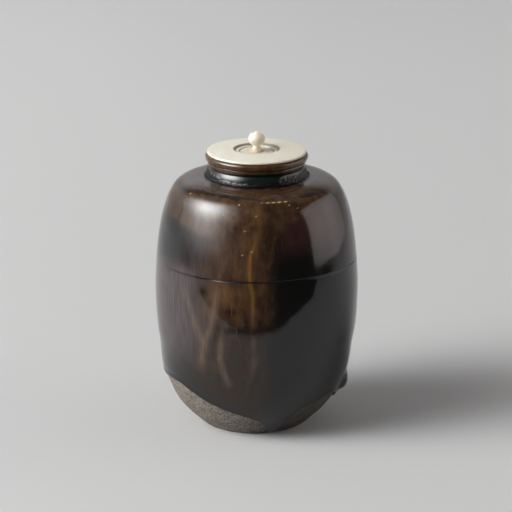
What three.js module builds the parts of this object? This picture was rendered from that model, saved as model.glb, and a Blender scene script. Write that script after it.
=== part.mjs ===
// A small stoneware caddy for powdered tea. A thrown jar with a flat base wears a dark iron glaze,
// which stops in a wavy line above the bare foot, and a turned lid with a knob lifts out of its mouth.
//
// Millimetres, Z up. The origin is the centre of the base and the front faces -Y.
// An azimuth is counted in degrees from the front towards +X.

import * as THREE from 'three';

// The jar, over the glaze where it is glazed
const jarHeight = 86.6;
const bellyDiameter = 63.4;
const bellyHeight = 44;
const footDiameter = 32.5;
const neckHeight = 6.9;
const mouthDiameter = 24;
const lipOverhang = 1.23;

// The clay alone
const wallThickness = 2.6;
const neckWall = 1.5;
const floorThickness = 4;

// The foot was pushed a little to the left on the wheel, and the wall straightens above it
const footShift = 0.7;

// One line is cut into the clay above the widest place
const lineRise = 9.9;
const lineWidth = 0.9;
const lineDepth = 0.3;

// The glaze
const glazeThickness = 0.5;
const glazeBond = 0.1;
const glazeMouthDepth = 3.1;
const glazeEdgeRoll = 0.6;

// A run of glaze that froze as a thick drop at the right
const dropAzimuth = 84;
const dropWidth = 9;
const dropLength = 7.4;
const dropThickness = 2.1;
const dropRise = 3.5;

// The lid's plate
const seatGap = 0.1;
const plateInset = 0.53;
const plateEdgeThickness = 0.7;
const plateThickness = 1.15;
const plateEdgeRound = 0.25;
const plugDepth = 2.6;
const plugClearance = 0.5;

// The well in the plate, with a ledge and a fine groove round its floor
const wellDiameter = 15;
const wellDepth = 0.85;
const ledgeDiameter = 11.8;
const ledgeHeight = 0.26;
const wellFloorDiameter = 10.2;

// The knob, measured up from the floor of the well
const knobHeight = 6.25;
const knobBallDiameter = 5.2;
const knobBallHeight = 4.6;
const knobBallRise = 4;
const knobWaistDiameter = 2.3;
const knobFootDiameter = 4.4;
const knobTipDiameter = 1.8;
const tenonDiameter = 2.4;
const tenonLength = 1.5;
const glueGap = 0.1;

// The leaf-covered disc under the plug
const leafThickness = 0.3;
const leafMargin = 0.4;
const leafGap = 0.05;

// Fineness of the surfaces
const wallColumns = 44;
const bareRows = 4;
const edgeRows = 6;
const lidColumns = 44;
const knobColumns = 22;
const ballRows = 8;
const searchSteps = 40;

// Extra columns stand where the glaze edge is steep, as [from, to] azimuths
const fineColumnRanges = [[-4, 34], [66, 102]];

// Sizes of the clay under the glaze
const glazeCover = glazeBond + glazeThickness;
const clayTop = jarHeight - glazeCover;
const neckFoot = clayTop - neckHeight;
const footRadius = footDiameter / 2;
const bellyRadius = bellyDiameter / 2 - glazeCover;
const mouthRadius = mouthDiameter / 2 + glazeCover;
const waistRadius = mouthRadius + neckWall;
const lipRadius = waistRadius + lipOverhang;

// Outline of the clay from the foot to the widest place: share of the belly's height, and share of
// the way from the foot's radius to the belly's
const lowerWallShares = [
  [0, 0], [0.057, 0.189], [0.114, 0.367], [0.182, 0.535], [0.273, 0.687], [0.364, 0.791],
  [0.455, 0.852], [0.591, 0.899], [0.727, 0.96], [1, 1],
];

// From the widest place to the neck: share of that height, and share of the way in to the neck's waist
const upperWallShares = [
  [0.171, 0.012], [0.456, 0.064], [0.627, 0.121], [0.738, 0.184], [0.821, 0.238],
  [0.875, 0.297], [0.926, 0.377], [0.96, 0.5], [0.986, 0.694], [0.994, 0.829],
];

// The neck and lip: share of the neck's height, share of the lip's overhang, and the glaze's share of
// its thickness, which thins in the groove between the two rolls of the lip and gathers on the upper one
const neckShares = [
  [0.05, 0.98, 1], [0.174, 0.61, 1], [0.29, 0.5, 1], [0.377, 0.325, 1], [0.449, 0.1, 1],
  [0.529, 0, 1], [0.594, 0.2, 1], [0.652, 0.42, 1], [0.739, 0.46, 1], [0.797, 0.53, 0.4],
  [0.848, 0.89, 1], [0.92, 1, 1], [0.978, 0.9, 1.2],
];

// Over the top of the lip: share of the neck's height, and share of the way from the mouth to the lip
const rimShares = [[1, 0.72], [1, 0.37], [0.95, 0.08]];

// Inside the mouth: the clay is round again at this share of the neck's height
const mouthTopShare = 0.85;

// Lower edge of the glaze: azimuth, and share of the belly's height
const glazeEdgeShares = [
  [-175, 0.35], [-150, 0.39], [-125, 0.34], [-98, 0.37], [-72, 0.38], [-60, 0.39], [-48, 0.366],
  [-35, 0.303], [-22, 0.25], [-10, 0.209], [0, 0.168], [6, 0.13], [11, 0.06], [16, 0.032],
  [21, 0.05], [26, 0.15], [31, 0.223], [44, 0.264], [60, 0.291], [70, 0.26], [78, 0.205],
  [84, 0.19], [90, 0.205], [98, 0.28], [108, 0.35], [130, 0.39], [158, 0.32],
];

// The glaze's share of its thickness at its lower edge, where it rolls over, and at its end in the mouth
const edgeThicknessShare = 0.4;
const rollThicknessShare = 1.25;
const mouthEndShare = 0.4;

// Above this row of its outline, no part of the wall follows the glaze's edge
const joinRow = 7;

// Share of the belly's height over which the foot's shift dies away
const shiftShare = 0.8;

// Shares of the drop's length above and below its thickest place
const dropAboveShare = 0.7;
const dropBelowShare = 0.3;

// Curve from the wall into the floor inside the jar: shares of the floor's thickness and the foot's
// radius. The straight wall ends above it, at a share of the floor's thickness of its own.
const floorCurveShares = [[1.9, 1.13], [1.15, 0.9], [1, 0.6]];
const wallEndShare = 2.3;

// The plate's edge, as shares of its thickness and of its rounding, the dome between the edge and the
// well, and the well's wall, as shares of its height over the ledge and of its width
const plateEdgeShares = [[0.5, 0], [0.85, 0.5], [1, 1.6]];
const domeShares = [0.5, 0.67];
const wellWallShares = [[0.95, 0.07], [0.55, 0.35], [0, 0.75]];

// Shares of the knob's foot, waist and ball
const flareShares = [[1, 0.12], [0.55, 0.35], [0.15, 0.7]];
const ballTopShare = 0.66;

function radians(degrees) {
  return THREE.MathUtils.degToRad(degrees);
}

// The wall's outline is one smooth curve through these control points, with the radius along x.
function outlinePoints() {
  const points = [];
  for (const [height, radius] of lowerWallShares) {
    points.push([footRadius + (bellyRadius - footRadius) * radius, bellyHeight * height, 1]);
  }
  for (const [height, radius] of upperWallShares) {
    const z = bellyHeight + (neckFoot - bellyHeight) * height;
    points.push([bellyRadius - (bellyRadius - waistRadius) * radius, z, 1]);
  }
  for (const [height, overhang, glaze] of neckShares) {
    points.push([waistRadius + lipOverhang * overhang, neckFoot + neckHeight * height, glaze]);
  }
  for (const [height, radius] of rimShares) {
    points.push([mouthRadius + (lipRadius - mouthRadius) * radius, neckFoot + neckHeight * height, 1]);
  }
  points.push([mouthRadius, neckFoot + neckHeight * mouthTopShare, 1]);
  points.push([mouthRadius, clayTop - glazeMouthDepth, mouthEndShare]);
  return points;
}

const controls = outlinePoints();
const outline = new THREE.CatmullRomCurve3(
  controls.map(([radius, height]) => new THREE.Vector3(radius, 0, height)), false, 'centripetal');
const lastControl = controls.length - 1;

// How deep the cut line goes at a height
function lineCut(height) {
  const away = Math.abs(height - bellyHeight - lineRise) / (lineWidth / 2);
  return lineDepth * Math.max(0, 1 - away);
}

// A row of the wall: its radius, its height, the way its surface faces and its share of glaze
function rowAt(place, glaze) {
  const point = outline.getPoint(place);
  const along = outline.getTangent(place);
  return { r: point.x - lineCut(point.z), z: point.z, facingR: along.z, facingZ: -along.x, glaze };
}

// The place on the outline, between two others, that lies at a height
function placeAtHeight(height, lowest, highest) {
  let low = lowest;
  let high = highest;
  for (let step = 0; step < searchSteps; step += 1) {
    const middle = (low + high) / 2;
    if (outline.getPoint(middle).z < height) low = middle;
    else high = middle;
  }
  return low;
}

const joinPlace = joinRow / lastControl;
const shoulderRow = lowerWallShares.length + upperWallShares.length - 1;
const shoulderPlace = shoulderRow / lastControl;

// Rows from the join to the glaze's end in the mouth, the same in every column
function sharedRows() {
  const rows = [];
  for (let index = joinRow; index <= lastControl; index += 1) {
    rows.push({ place: index / lastControl, glaze: controls[index][2] });
  }
  const lineHeight = bellyHeight + lineRise;
  for (const height of [lineHeight - lineWidth / 2, lineHeight, lineHeight + lineWidth / 2]) {
    rows.push({ place: placeAtHeight(height, joinPlace, shoulderPlace), glaze: 1 });
  }
  rows.sort((one, other) => one.place - other.place);
  return rows.map(({ place, glaze }) => rowAt(place, glaze));
}

const upperRows = sharedRows();

// Height of the glaze's lower edge: a smooth closed curve through the table, with the slope at each
// of its points taken from the two beside it
function glazeEdge(azimuth) {
  const count = glazeEdgeShares.length;
  const turn = 360;
  const at = (index) => {
    const wraps = Math.floor(index / count);
    const [degrees, share] = glazeEdgeShares[index - wraps * count];
    return [degrees + turn * wraps, share * bellyHeight];
  };
  let index = -1;
  while (at(index + 1)[0] <= azimuth) index += 1;
  const [[before, a], [from, b], [to, c], [after, d]] = [index - 1, index, index + 1, index + 2].map(at);
  const t = (azimuth - from) / (to - from);
  const slopeFrom = (c - a) / (to - before) * (to - from);
  const slopeTo = (d - b) / (after - from) * (to - from);
  const rest = 1 - t;
  return rest * rest * (b * (1 + 2 * t) + slopeFrom * t) + t * t * (c * (3 - 2 * t) - slopeTo * rest);
}

// Azimuths of the wall's columns
function columnAzimuths() {
  const azimuths = [];
  const step = 360 / wallColumns;
  for (let index = 0; index < wallColumns; index += 1) {
    const azimuth = index * step - 180;
    const halfway = azimuth + step / 2;
    azimuths.push(azimuth);
    if (fineColumnRanges.some(([from, to]) => halfway > from && halfway < to)) azimuths.push(halfway);
  }
  return azimuths;
}

// Rows of one column: the bare foot, then the glazed wall from the edge to the mouth
function wallRows(azimuth) {
  const edge = glazeEdge(azimuth);
  const edgePlace = placeAtHeight(edge, 0, joinPlace);
  const rollPlace = placeAtHeight(edge + glazeEdgeRoll, 0, joinPlace);
  const bare = [];
  for (let row = 0; row < bareRows; row += 1) bare.push(rowAt(edgePlace * row / bareRows, 0));
  const glazed = [rowAt(edgePlace, edgeThicknessShare)];
  for (let row = 0; row < edgeRows; row += 1) {
    const place = rollPlace + (joinPlace - rollPlace) * row / edgeRows;
    glazed.push(rowAt(place, row === 0 ? rollThicknessShare : 1));
  }
  return { bare, glazed: [...glazed, ...upperRows] };
}

// How far the drop stands out of the glaze: a dome, longer above its thickest place than below it
function dropHeight(azimuth, row) {
  const centre = glazeEdge(dropAzimuth) + dropRise;
  const rise = row.z - centre;
  const across = radians(azimuth - dropAzimuth) * row.r / (dropWidth / 2);
  const along = rise / (dropLength * (rise > 0 ? dropAboveShare : dropBelowShare));
  return dropThickness * Math.max(0, 1 - across * across - along * along);
}

// A point of a column, out from a row's surface by a distance, with the foot's shift
function wallPoint(azimuth, row, distance) {
  const radius = row.r + row.facingR * distance;
  const height = row.z + row.facingZ * distance;
  const straight = THREE.MathUtils.smoothstep(height, 0, bellyHeight * shiftShare);
  const angle = radians(azimuth);
  const shift = radius > 0 ? footShift * (1 - straight) : 0;
  return new THREE.Vector3(radius * Math.sin(angle) - shift, -radius * Math.cos(angle), height);
}

// The inside of the jar from the glaze's end in the mouth down to the middle of the floor
function insideRows() {
  const rows = [{ r: mouthRadius, z: neckFoot }];
  for (let index = shoulderRow; index > 0; index -= 2) {
    const row = rowAt(index / lastControl, 0);
    const inner = { r: row.r - row.facingR * wallThickness, z: row.z - row.facingZ * wallThickness };
    if (inner.z > floorThickness * wallEndShare) rows.push(inner);
  }
  for (const [height, radius] of floorCurveShares) {
    rows.push({ r: footRadius * radius, z: floorThickness * height });
  }
  rows.push({ r: 0, z: floorThickness });
  return rows.map((row) => ({ ...row, facingR: 0, facingZ: 0 }));
}

// A closed skin through columns of points that stand side by side round the axis, anticlockwise seen
// from above. A ring closes on itself; any other column starts and ends on the axis. Each four-sided
// field is split along its shorter diagonal, so that the clay and the glaze split alike.
function skin(columns, ring) {
  const rows = columns[0].length;
  const points = columns.flat();
  const indices = [];
  for (let column = 0; column < columns.length; column += 1) {
    const here = column * rows;
    const next = ((column + 1) % columns.length) * rows;
    for (let row = 0; row < (ring ? rows : rows - 1); row += 1) {
      const [a, b] = [here + row, next + row];
      const [c, d] = [next + (row + 1) % rows, here + (row + 1) % rows];
      const startsOnAxis = !ring && row === 0;
      const endsOnAxis = !ring && row === rows - 2;
      if (startsOnAxis) indices.push(a, c, d);
      else if (endsOnAxis) indices.push(a, b, c);
      else if (points[a].distanceTo(points[c]) < points[b].distanceTo(points[d])) {
        indices.push(a, b, c, a, c, d);
      } else {
        indices.push(a, b, d, b, c, d);
      }
    }
  }
  const positions = points.flatMap((point) => [point.x, point.y, point.z]);
  const geometry = new THREE.BufferGeometry();
  geometry.setAttribute('position', new THREE.Float32BufferAttribute(positions, 3));
  geometry.setIndex(indices);
  geometry.computeVertexNormals();
  return geometry;
}

// A turned piece: the profile runs from the axis up round the outside and back to the axis
function turned(profile, columns) {
  const points = profile.map(([radius, height]) => new THREE.Vector2(radius, height));
  const geometry = new THREE.LatheGeometry(points, columns);
  geometry.rotateX(Math.PI / 2);
  return geometry;
}

function named(name, geometry, material) {
  const mesh = new THREE.Mesh(geometry, material);
  mesh.name = name;
  return mesh;
}

// The jar's clay, bare at the foot and inside
function clayBody() {
  const inside = insideRows();
  const centre = { r: 0, z: 0, facingR: 0, facingZ: 0 };
  const columns = columnAzimuths().map((azimuth) => {
    const { bare, glazed } = wallRows(azimuth);
    return [centre, ...bare, ...glazed, ...inside].map((row) => wallPoint(azimuth, row, 0));
  });
  return skin(columns, false);
}

// The glaze follows the clay from its lower edge up over the lip and into the mouth
function glazeCoat() {
  const columns = columnAzimuths().map((azimuth) => {
    const { glazed } = wallRows(azimuth);
    const face = glazed.map((row) => {
      const thickness = glazeThickness * row.glaze + dropHeight(azimuth, row);
      return wallPoint(azimuth, row, glazeBond + thickness);
    });
    const back = glazed.map((row) => wallPoint(azimuth, row, glazeBond));
    return [...face, ...back.reverse()];
  });
  return skin(columns, true);
}

// Heights and radii that the lid's pieces share
const plateUnderside = jarHeight + seatGap;
const plateTop = plateUnderside + plateThickness;
const wellFloor = plateTop - wellDepth;
const plateRadius = lipRadius + glazeCover - plateInset;
const plugRadius = mouthDiameter / 2 - plugClearance;
const plugUnderside = plateUnderside - plugDepth;
const tenonRadius = tenonDiameter / 2;

function lidPlate() {
  const holeRadius = tenonRadius + glueGap;
  const holeFloor = wellFloor - tenonLength - glueGap;
  const wellRadius = wellDiameter / 2;
  const ledgeRadius = ledgeDiameter / 2;
  const floorRadius = wellFloorDiameter / 2;
  const ledge = wellFloor + ledgeHeight;
  const profile = [
    [0, plugUnderside],
    [plugRadius - plateEdgeRound, plugUnderside],
    [plugRadius, plugUnderside + plateEdgeRound],
    [plugRadius, plateUnderside],
    [plateRadius - plateEdgeRound, plateUnderside],
  ];
  for (const [height, inset] of plateEdgeShares) {
    profile.push([plateRadius - plateEdgeRound * inset, plateUnderside + plateEdgeThickness * height]);
  }
  const edgeTop = plateUnderside + plateEdgeThickness;
  const [domeIn, domeUp] = domeShares;
  profile.push([plateRadius - (plateRadius - wellRadius) * domeIn, edgeTop + (plateTop - edgeTop) * domeUp]);
  profile.push([wellRadius, plateTop]);
  for (const [height, inset] of wellWallShares) {
    const z = ledge + (plateTop - ledge) * height;
    profile.push([wellRadius - (wellRadius - ledgeRadius) * inset, z]);
  }
  profile.push([ledgeRadius, ledge]);
  profile.push([floorRadius, wellFloor]);
  profile.push([holeRadius, wellFloor]);
  profile.push([holeRadius, holeFloor]);
  profile.push([0, holeFloor]);
  return turned(profile, lidColumns);
}

function lidKnob() {
  const foot = wellFloor + glueGap;
  const ballRadius = knobBallDiameter / 2;
  const ballRise = knobBallHeight / 2;
  const waistRadius = knobWaistDiameter / 2;
  const footRadius = knobFootDiameter / 2;
  const tipRadius = knobTipDiameter / 2;
  const ballCentre = wellFloor + knobBallRise;
  const ballStart = -Math.acos(waistRadius / ballRadius);
  const ballEnd = Math.acos(ballTopShare);
  const waist = ballCentre + ballRise * Math.sin(ballStart);
  const shelf = ballCentre + ballRise * Math.sin(ballEnd);
  const tip = wellFloor + knobHeight;
  const profile = [
    [0, wellFloor - tenonLength],
    [tenonRadius, wellFloor - tenonLength],
    [tenonRadius, foot],
    [footRadius, foot],
  ];
  for (const [radius, height] of flareShares) {
    profile.push([waistRadius + (footRadius - waistRadius) * radius, foot + (waist - foot) * height]);
  }
  for (let row = 0; row <= ballRows; row += 1) {
    const angle = ballStart + (ballEnd - ballStart) * row / ballRows;
    profile.push([ballRadius * Math.cos(angle), ballCentre + ballRise * Math.sin(angle)]);
  }
  profile.push([tipRadius, shelf]);
  profile.push([tipRadius, (shelf + tip) / 2]);
  profile.push([tipRadius / 2, tip]);
  profile.push([0, tip]);
  return turned(profile, knobColumns);
}

function leafDisc() {
  const radius = plugRadius - leafMargin;
  const top = plugUnderside - leafGap;
  const bottom = top - leafThickness;
  return turned([[0, bottom], [radius, bottom], [radius, top], [0, top]], lidColumns);
}

const clay = new THREE.MeshStandardMaterial({ color: 0x8b8173, roughness: 0.9, metalness: 0 });
const glaze = new THREE.MeshStandardMaterial({ color: 0x2a1a12, roughness: 0.15, metalness: 0 });
const ivory = new THREE.MeshStandardMaterial({ color: 0xe2dbc6, roughness: 0.4, metalness: 0 });
const polishedIvory = new THREE.MeshStandardMaterial({ color: 0xeee6d0, roughness: 0.25, metalness: 0 });
const gold = new THREE.MeshStandardMaterial({ color: 0xc8a04a, roughness: 0.35, metalness: 0.9 });

const jar = new THREE.Group();
jar.add(named('clay_body', clayBody(), clay));
jar.add(named('glaze_coat', glazeCoat(), glaze));

const lid = new THREE.Group();
lid.add(named('lid_plate', lidPlate(), ivory));
lid.add(named('lid_knob', lidKnob(), polishedIvory));
lid.add(named('gold_leaf_lining', leafDisc(), gold));

const caddy = new THREE.Group();
caddy.add(jar, lid);

export default caddy;
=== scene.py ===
# %% [markdown]
# # A tea caddy in iron glaze, with an ivory lid
#
# The real caddy is a small stoneware jar, thrown on a wheel, dipped in an iron glaze that ran and
# froze, and closed with a turned lid. Its solids are packed already, as the fixed frame. Here each of
# them gets a finer surface that keeps its size and its place, and a finish. Lengths are metres, the
# origin is the centre of the base, the front faces -Y, and an azimuth counts degrees from the front
# towards +X.

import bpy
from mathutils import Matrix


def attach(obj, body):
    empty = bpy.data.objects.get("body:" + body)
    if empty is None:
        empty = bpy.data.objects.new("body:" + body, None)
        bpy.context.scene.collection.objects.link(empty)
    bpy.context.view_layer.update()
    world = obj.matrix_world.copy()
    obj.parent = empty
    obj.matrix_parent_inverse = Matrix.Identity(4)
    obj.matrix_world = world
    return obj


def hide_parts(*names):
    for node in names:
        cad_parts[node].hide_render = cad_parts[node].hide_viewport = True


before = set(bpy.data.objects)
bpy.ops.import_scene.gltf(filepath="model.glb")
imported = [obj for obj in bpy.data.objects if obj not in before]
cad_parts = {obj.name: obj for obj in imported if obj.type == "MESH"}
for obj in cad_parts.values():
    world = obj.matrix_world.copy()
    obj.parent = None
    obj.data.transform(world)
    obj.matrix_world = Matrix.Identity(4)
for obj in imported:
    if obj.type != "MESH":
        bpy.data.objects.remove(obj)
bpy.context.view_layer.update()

# %% Libraries and the unit
import math

import bpy
import numpy as np

MM = 0.001

# %% [markdown]
# ## The camera
#
# The photographer stood far off with a long lens, a little above the caddy. A long lens could also be
# made with a narrow orthographic camera, but a real focal length keeps the slight taper of the lid.
# The camera is placed by its height angle and distance from the point that it looks at.

# %% A camera in front of the caddy, a little above it
CAMERA_LENS_MM = 225
CAMERA_SENSOR_MM = 36
CAMERA_DISTANCE = 1.0
CAMERA_ELEVATION = math.radians(16.9)
LOOK_AT = (-0.00021, 0.0, 0.05305)

camera_data = bpy.data.cameras.new("camera")
camera_data.lens = CAMERA_LENS_MM
camera_data.sensor_width = CAMERA_SENSOR_MM
camera = bpy.data.objects.new("camera", camera_data)
camera.location = (
    LOOK_AT[0],
    LOOK_AT[1] - CAMERA_DISTANCE * math.cos(CAMERA_ELEVATION),
    LOOK_AT[2] + CAMERA_DISTANCE * math.sin(CAMERA_ELEVATION),
)
camera.rotation_euler = (math.pi / 2 - CAMERA_ELEVATION, 0, 0)
bpy.context.scene.collection.objects.link(camera)
bpy.context.scene.camera = camera
bpy.context.scene.view_settings.view_transform = "Standard"
print("camera at", [round(value, 4) for value in camera.location])

# %% [markdown]
# ## Grids of points
#
# Everything on this caddy was turned on a wheel or a lathe, so every piece is a grid: columns of
# points stand side by side round the axis, and each column runs along a profile. A Spin or Screw
# modifier could sweep one profile round, but then no column could differ from its neighbour, and the
# glaze ends at another height in each of them. So the grids are worked out as arrays.

# %% Small helpers for curves and grids
def hermite(t, start, end, leave, reach):
    """A cubic that goes from start to end as t goes from 0 to 1, with the two slopes at its ends."""
    t2 = t * t
    t3 = t2 * t
    return (
        (2 * t3 - 3 * t2 + 1) * start
        + (t3 - 2 * t2 + t) * leave
        + (3 * t2 - 2 * t3) * end
        + (t3 - t2) * reach
    )


def smoothstep(value, low, high):
    """0 below low, 1 above high, and 3t^2 - 2t^3 between them."""
    t = np.clip((value - low) / (high - low), 0, 1)
    return t * t * (3 - 2 * t)


def bell(distance, width):
    """A bell curve that is 1 at distance 0 and falls to about a third at one width."""
    return np.exp(-((distance / width) ** 2))


def centripetal(points, places):
    """A smooth curve through points: between two of them it is a cubic whose slopes follow from the
    square roots of the distances to the neighbours. A place counts points, so 2.5 is half way from the
    third to the fourth."""
    padded = np.vstack([2 * points[0] - points[1], points, 2 * points[-1] - points[-2]])
    gap = np.sqrt(np.linalg.norm(np.diff(padded, axis=0), axis=1))[:, None]
    before, here, after = padded[:-2], padded[1:-1], padded[2:]
    pull = (here - before) / gap[:-1] - (after - before) / (gap[:-1] + gap[1:]) + (after - here) / gap[1:]
    index = np.clip(np.floor(places).astype(int), 0, len(points) - 2)
    t = (places - index)[..., None]
    span = gap[1:-1][index]
    return hermite(t, points[index], points[index + 1], pull[index] * span, pull[index + 1] * span)


def all_round(count):
    """Azimuths of so many columns, evenly spaced over the full turn, as a column of degrees."""
    return (-180 + 360 * np.arange(count) / count)[:, None]


def placed(azimuth, radius, height):
    """Points at azimuths in degrees, radii and heights: x = r sin a, y = -r cos a."""
    angle = np.radians(azimuth)
    return np.stack(np.broadcast_arrays(radius * np.sin(angle), -radius * np.cos(angle), height), axis=-1)


# %% Turn a grid into a mesh
def grid_piece(name, points, pole_first=False, pole_last=False, ring=False):
    """A closed mesh from points[column, row, xyz]. The last column joins the first. A pole closes the
    first or last row in one point, and a ring joins the last row to the first instead."""
    columns, rows = points.shape[:2]
    number = np.arange(columns * rows).reshape(columns, rows)
    if pole_first:
        number[:, 0] = number[0, 0]
    if pole_last:
        number[:, -1] = number[0, -1]
    here, beside = number, np.roll(number, -1, axis=0)
    if ring:
        above, beside_above = np.roll(here, -1, axis=1), np.roll(beside, -1, axis=1)
    else:
        here, beside, above, beside_above = here[:, :-1], beside[:, :-1], here[:, 1:], beside[:, 1:]
    quads = np.stack([here, beside, beside_above, above], axis=-1)
    first = quads[:, 0][:, [0, 2, 3]] if pole_first else np.zeros((0, 3), int)
    last = quads[:, -1][:, [0, 1, 2]] if pole_last else np.zeros((0, 3), int)
    quads = quads[:, int(pole_first) : quads.shape[1] - int(pole_last)].reshape(-1, 4)
    triangles = np.vstack([first, last])

    used, renumbered = np.unique(np.concatenate([quads.ravel(), triangles.ravel()]), return_inverse=True)
    starts = np.concatenate([np.arange(len(quads)) * 4, quads.size + np.arange(len(triangles)) * 3])
    mesh = bpy.data.meshes.new(name)
    mesh.vertices.add(len(used))
    mesh.vertices.foreach_set("co", points.reshape(-1, 3)[used].astype(np.float32).ravel())
    mesh.loops.add(len(renumbered))
    mesh.loops.foreach_set("vertex_index", renumbered.astype(np.int32))
    mesh.polygons.add(len(starts))
    mesh.polygons.foreach_set("loop_start", starts.astype(np.int32))
    mesh.polygons.foreach_set("use_smooth", np.ones(len(starts), bool))
    mesh.update(calc_edges=True)
    mesh.validate()
    piece = bpy.data.objects.new(name, mesh)
    bpy.context.scene.collection.objects.link(piece)
    print(name, "has", len(used), "points and", 2 * len(quads) + len(triangles), "triangles")
    return piece, used


def paint(piece, used, name, values):
    """Keeps a number for each point of a piece, such as how amber the glaze is there."""
    attribute = piece.data.attributes.new(name, "FLOAT", "POINT")
    attribute.data.foreach_set("value", values.reshape(-1)[used].astype(np.float32))


# %% [markdown]
# ## The outline of the wall
#
# The potter pulled the wall up in one curve: a narrow foot, a belly that is widest half way up, a
# broad shoulder, a short neck and a lip rolled over in two steps. A curve object could hold that
# outline, but the glaze has to follow it at a small distance, so it is kept as a function: a smooth
# curve through a few measured points, with the way that the surface faces at each of them.

# %% The clay's outline
WALL_POINTS = MM * np.array([
    (16.25, 0), (19.06, 2.51), (21.7, 5.02), (24.2, 8.01), (26.45, 12.01), (28, 16.02), (28.9, 20.02),
    (29.6, 26), (30.51, 31.99), (31.1, 44), (30.9, 50), (30.01, 60.01), (29.04, 66.01), (28.03, 69.9),
    (27, 72.82), (26.05, 74.71), (24.69, 76.5), (22.6, 77.7), (19.3, 78.61), (17.01, 78.89),
    (15.31, 79.45), (14.95, 80.2), (14.84, 80.95), (14.62, 81.5), (14.3, 82.1), (14.02, 82.65),
    (14.35, 83.2), (14.62, 83.6), (14.67, 84.2), (14.75, 84.6), (15.19, 84.95), (15.33, 85.45),
    (15.21, 85.85), (14.57, 86), (13.61, 86), (12.82, 85.66), (12.6, 84.97), (12.6, 82.9),
])
# At these points, by number, the glaze has this share of its usual thickness.
GLAZE_GATHERS = {29: 0.4, 32: 1.2}
STEPS_BETWEEN_POINTS = 80

fine_places = np.linspace(0, len(WALL_POINTS) - 1, (len(WALL_POINTS) - 1) * STEPS_BETWEEN_POINTS + 1)
fine_wall = centripetal(WALL_POINTS, fine_places)
fine_slope = np.gradient(fine_wall, axis=0)
fine_slope /= np.linalg.norm(fine_slope, axis=1)[:, None]
fine_length = np.concatenate([[0], np.cumsum(np.linalg.norm(np.diff(fine_wall, axis=0), axis=1))])
wall_length = fine_length[-1]
gathered = np.ones(len(WALL_POINTS))
for index, share in GLAZE_GATHERS.items():
    gathered[index] = share
print("the outline is", round(wall_length / MM, 1), "mm long")

# %% The cut line, and a point of the wall by its distance along the outline
LINE_HEIGHT = 53.9 * MM
LINE_WIDTH = 0.64 * MM
LINE_DEPTH = 0.28 * MM
FOOT_SHIFT = 0.7 * MM
SHIFT_ENDS = 35.2 * MM


def line_bite(height):
    """The rounded share of its depth that the cut line takes at a height: 1 in its middle, 0 beside it."""
    away = np.clip(np.abs(height - LINE_HEIGHT) / (LINE_WIDTH / 2), 0, 1)
    return (1 - away**2) ** 2


def wall_at(length):
    """Radius, height, the outward direction as (radius, height) and the glaze's share of its usual
    thickness, at distances along the outline. The cut line takes a bite out of the radius."""
    place = np.interp(length, fine_length, fine_places)
    radius, height, slope_r, slope_z = (
        np.interp(place, fine_places, values)
        for values in (fine_wall[:, 0], fine_wall[:, 1], fine_slope[:, 0], fine_slope[:, 1])
    )
    share = np.interp(place, np.arange(len(gathered)), gathered)
    radius = radius - LINE_DEPTH * line_bite(height)
    return radius, height, slope_z, -slope_r, share


def length_at(height):
    """The distance along the outline at which the wall, below its neck, reaches a height."""
    below = fine_wall[:, 1] < 79 * MM
    return np.interp(height, fine_wall[below, 1], fine_length[below])


def on_wall(azimuth, radius, height):
    """Points round the jar. Its foot was pushed a little to the left on the wheel."""
    points = placed(azimuth, radius, height)
    points[..., 0] -= FOOT_SHIFT * (1 - smoothstep(points[..., 2], 0, SHIFT_ENDS))
    return points


# %% Slow waves that no thrown surface is without
def waves(azimuth, height, seed, count, turns, rise, size):
    """A sum of sines round and up the jar. Each wave has a whole number of turns up to the largest
    given, and a wavelength in height of rise or more. Its largest value is about size."""
    random = np.random.default_rng(seed)
    total = 0
    for _ in range(count):
        turn = random.integers(1, turns + 1)
        climb = random.uniform(-1, 1) * 2 * math.pi / rise
        phase = random.uniform(0, 2 * math.pi)
        total = total + np.sin(turn * np.radians(azimuth) + climb * height + phase)
    return size * total / math.sqrt(2 * count)


# %% [markdown]
# ## The edge of the glaze
#
# The jar was held by its foot and dipped, so the glaze ends in a wavy line above the bare clay, with
# one tongue that ran down to the base at the front. The edge is a closed curve: its height is given
# at some azimuths and flows smoothly between them. It could be painted as a mask on one surface, but
# real glaze is half a millimetre thick and rolls over at its edge, so it gets a body of its own.

# %% The lower edge of the glaze
GLAZE_EDGE = [
    (-175, 15.4), (-150, 17.16), (-125, 14.96), (-98, 16.28), (-72, 16.72), (-60, 17.16), (-48, 16.1),
    (-35, 13.33), (-22, 11), (-10, 9.2), (0, 7.39), (6, 5.72), (11, 2.64), (16, 1.41), (21, 2.2),
    (26, 6.6), (31, 9.81), (44, 11.62), (60, 12.8), (70, 11.44), (78, 9.02), (84, 8.36), (90, 9.02),
    (98, 12.32), (108, 15.4), (130, 17.16), (158, 14.08),
]
EDGE_WOBBLE = 0.12 * MM


def glaze_edge(azimuth):
    """Height of the glaze's edge. The slope at each given point is taken from the two beside it."""
    degrees, heights = np.array(GLAZE_EDGE).T
    x = np.concatenate([degrees[-2:] - 360, degrees, degrees[:2] + 360])
    y = np.concatenate([heights[-2:], heights, heights[:2]]) * MM
    slope = np.zeros(len(x))
    slope[1:-1] = (y[2:] - y[:-2]) / (x[2:] - x[:-2])
    index = np.clip(np.searchsorted(x, azimuth, side="right") - 1, 1, len(x) - 3)
    span = x[index + 1] - x[index]
    t = (azimuth - x[index]) / span
    edge = hermite(t, y[index], y[index + 1], slope[index] * span, slope[index + 1] * span)
    return edge + waves(azimuth, 0, seed=3, count=7, turns=60, rise=1, size=EDGE_WOBBLE)


COLUMNS = 384
azimuths = all_round(COLUMNS)[:, 0]
edge_heights = glaze_edge(azimuths)
print("the glaze's edge lies between", round(edge_heights.min() / MM, 1), "and",
      round(edge_heights.max() / MM, 1), "mm")

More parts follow.
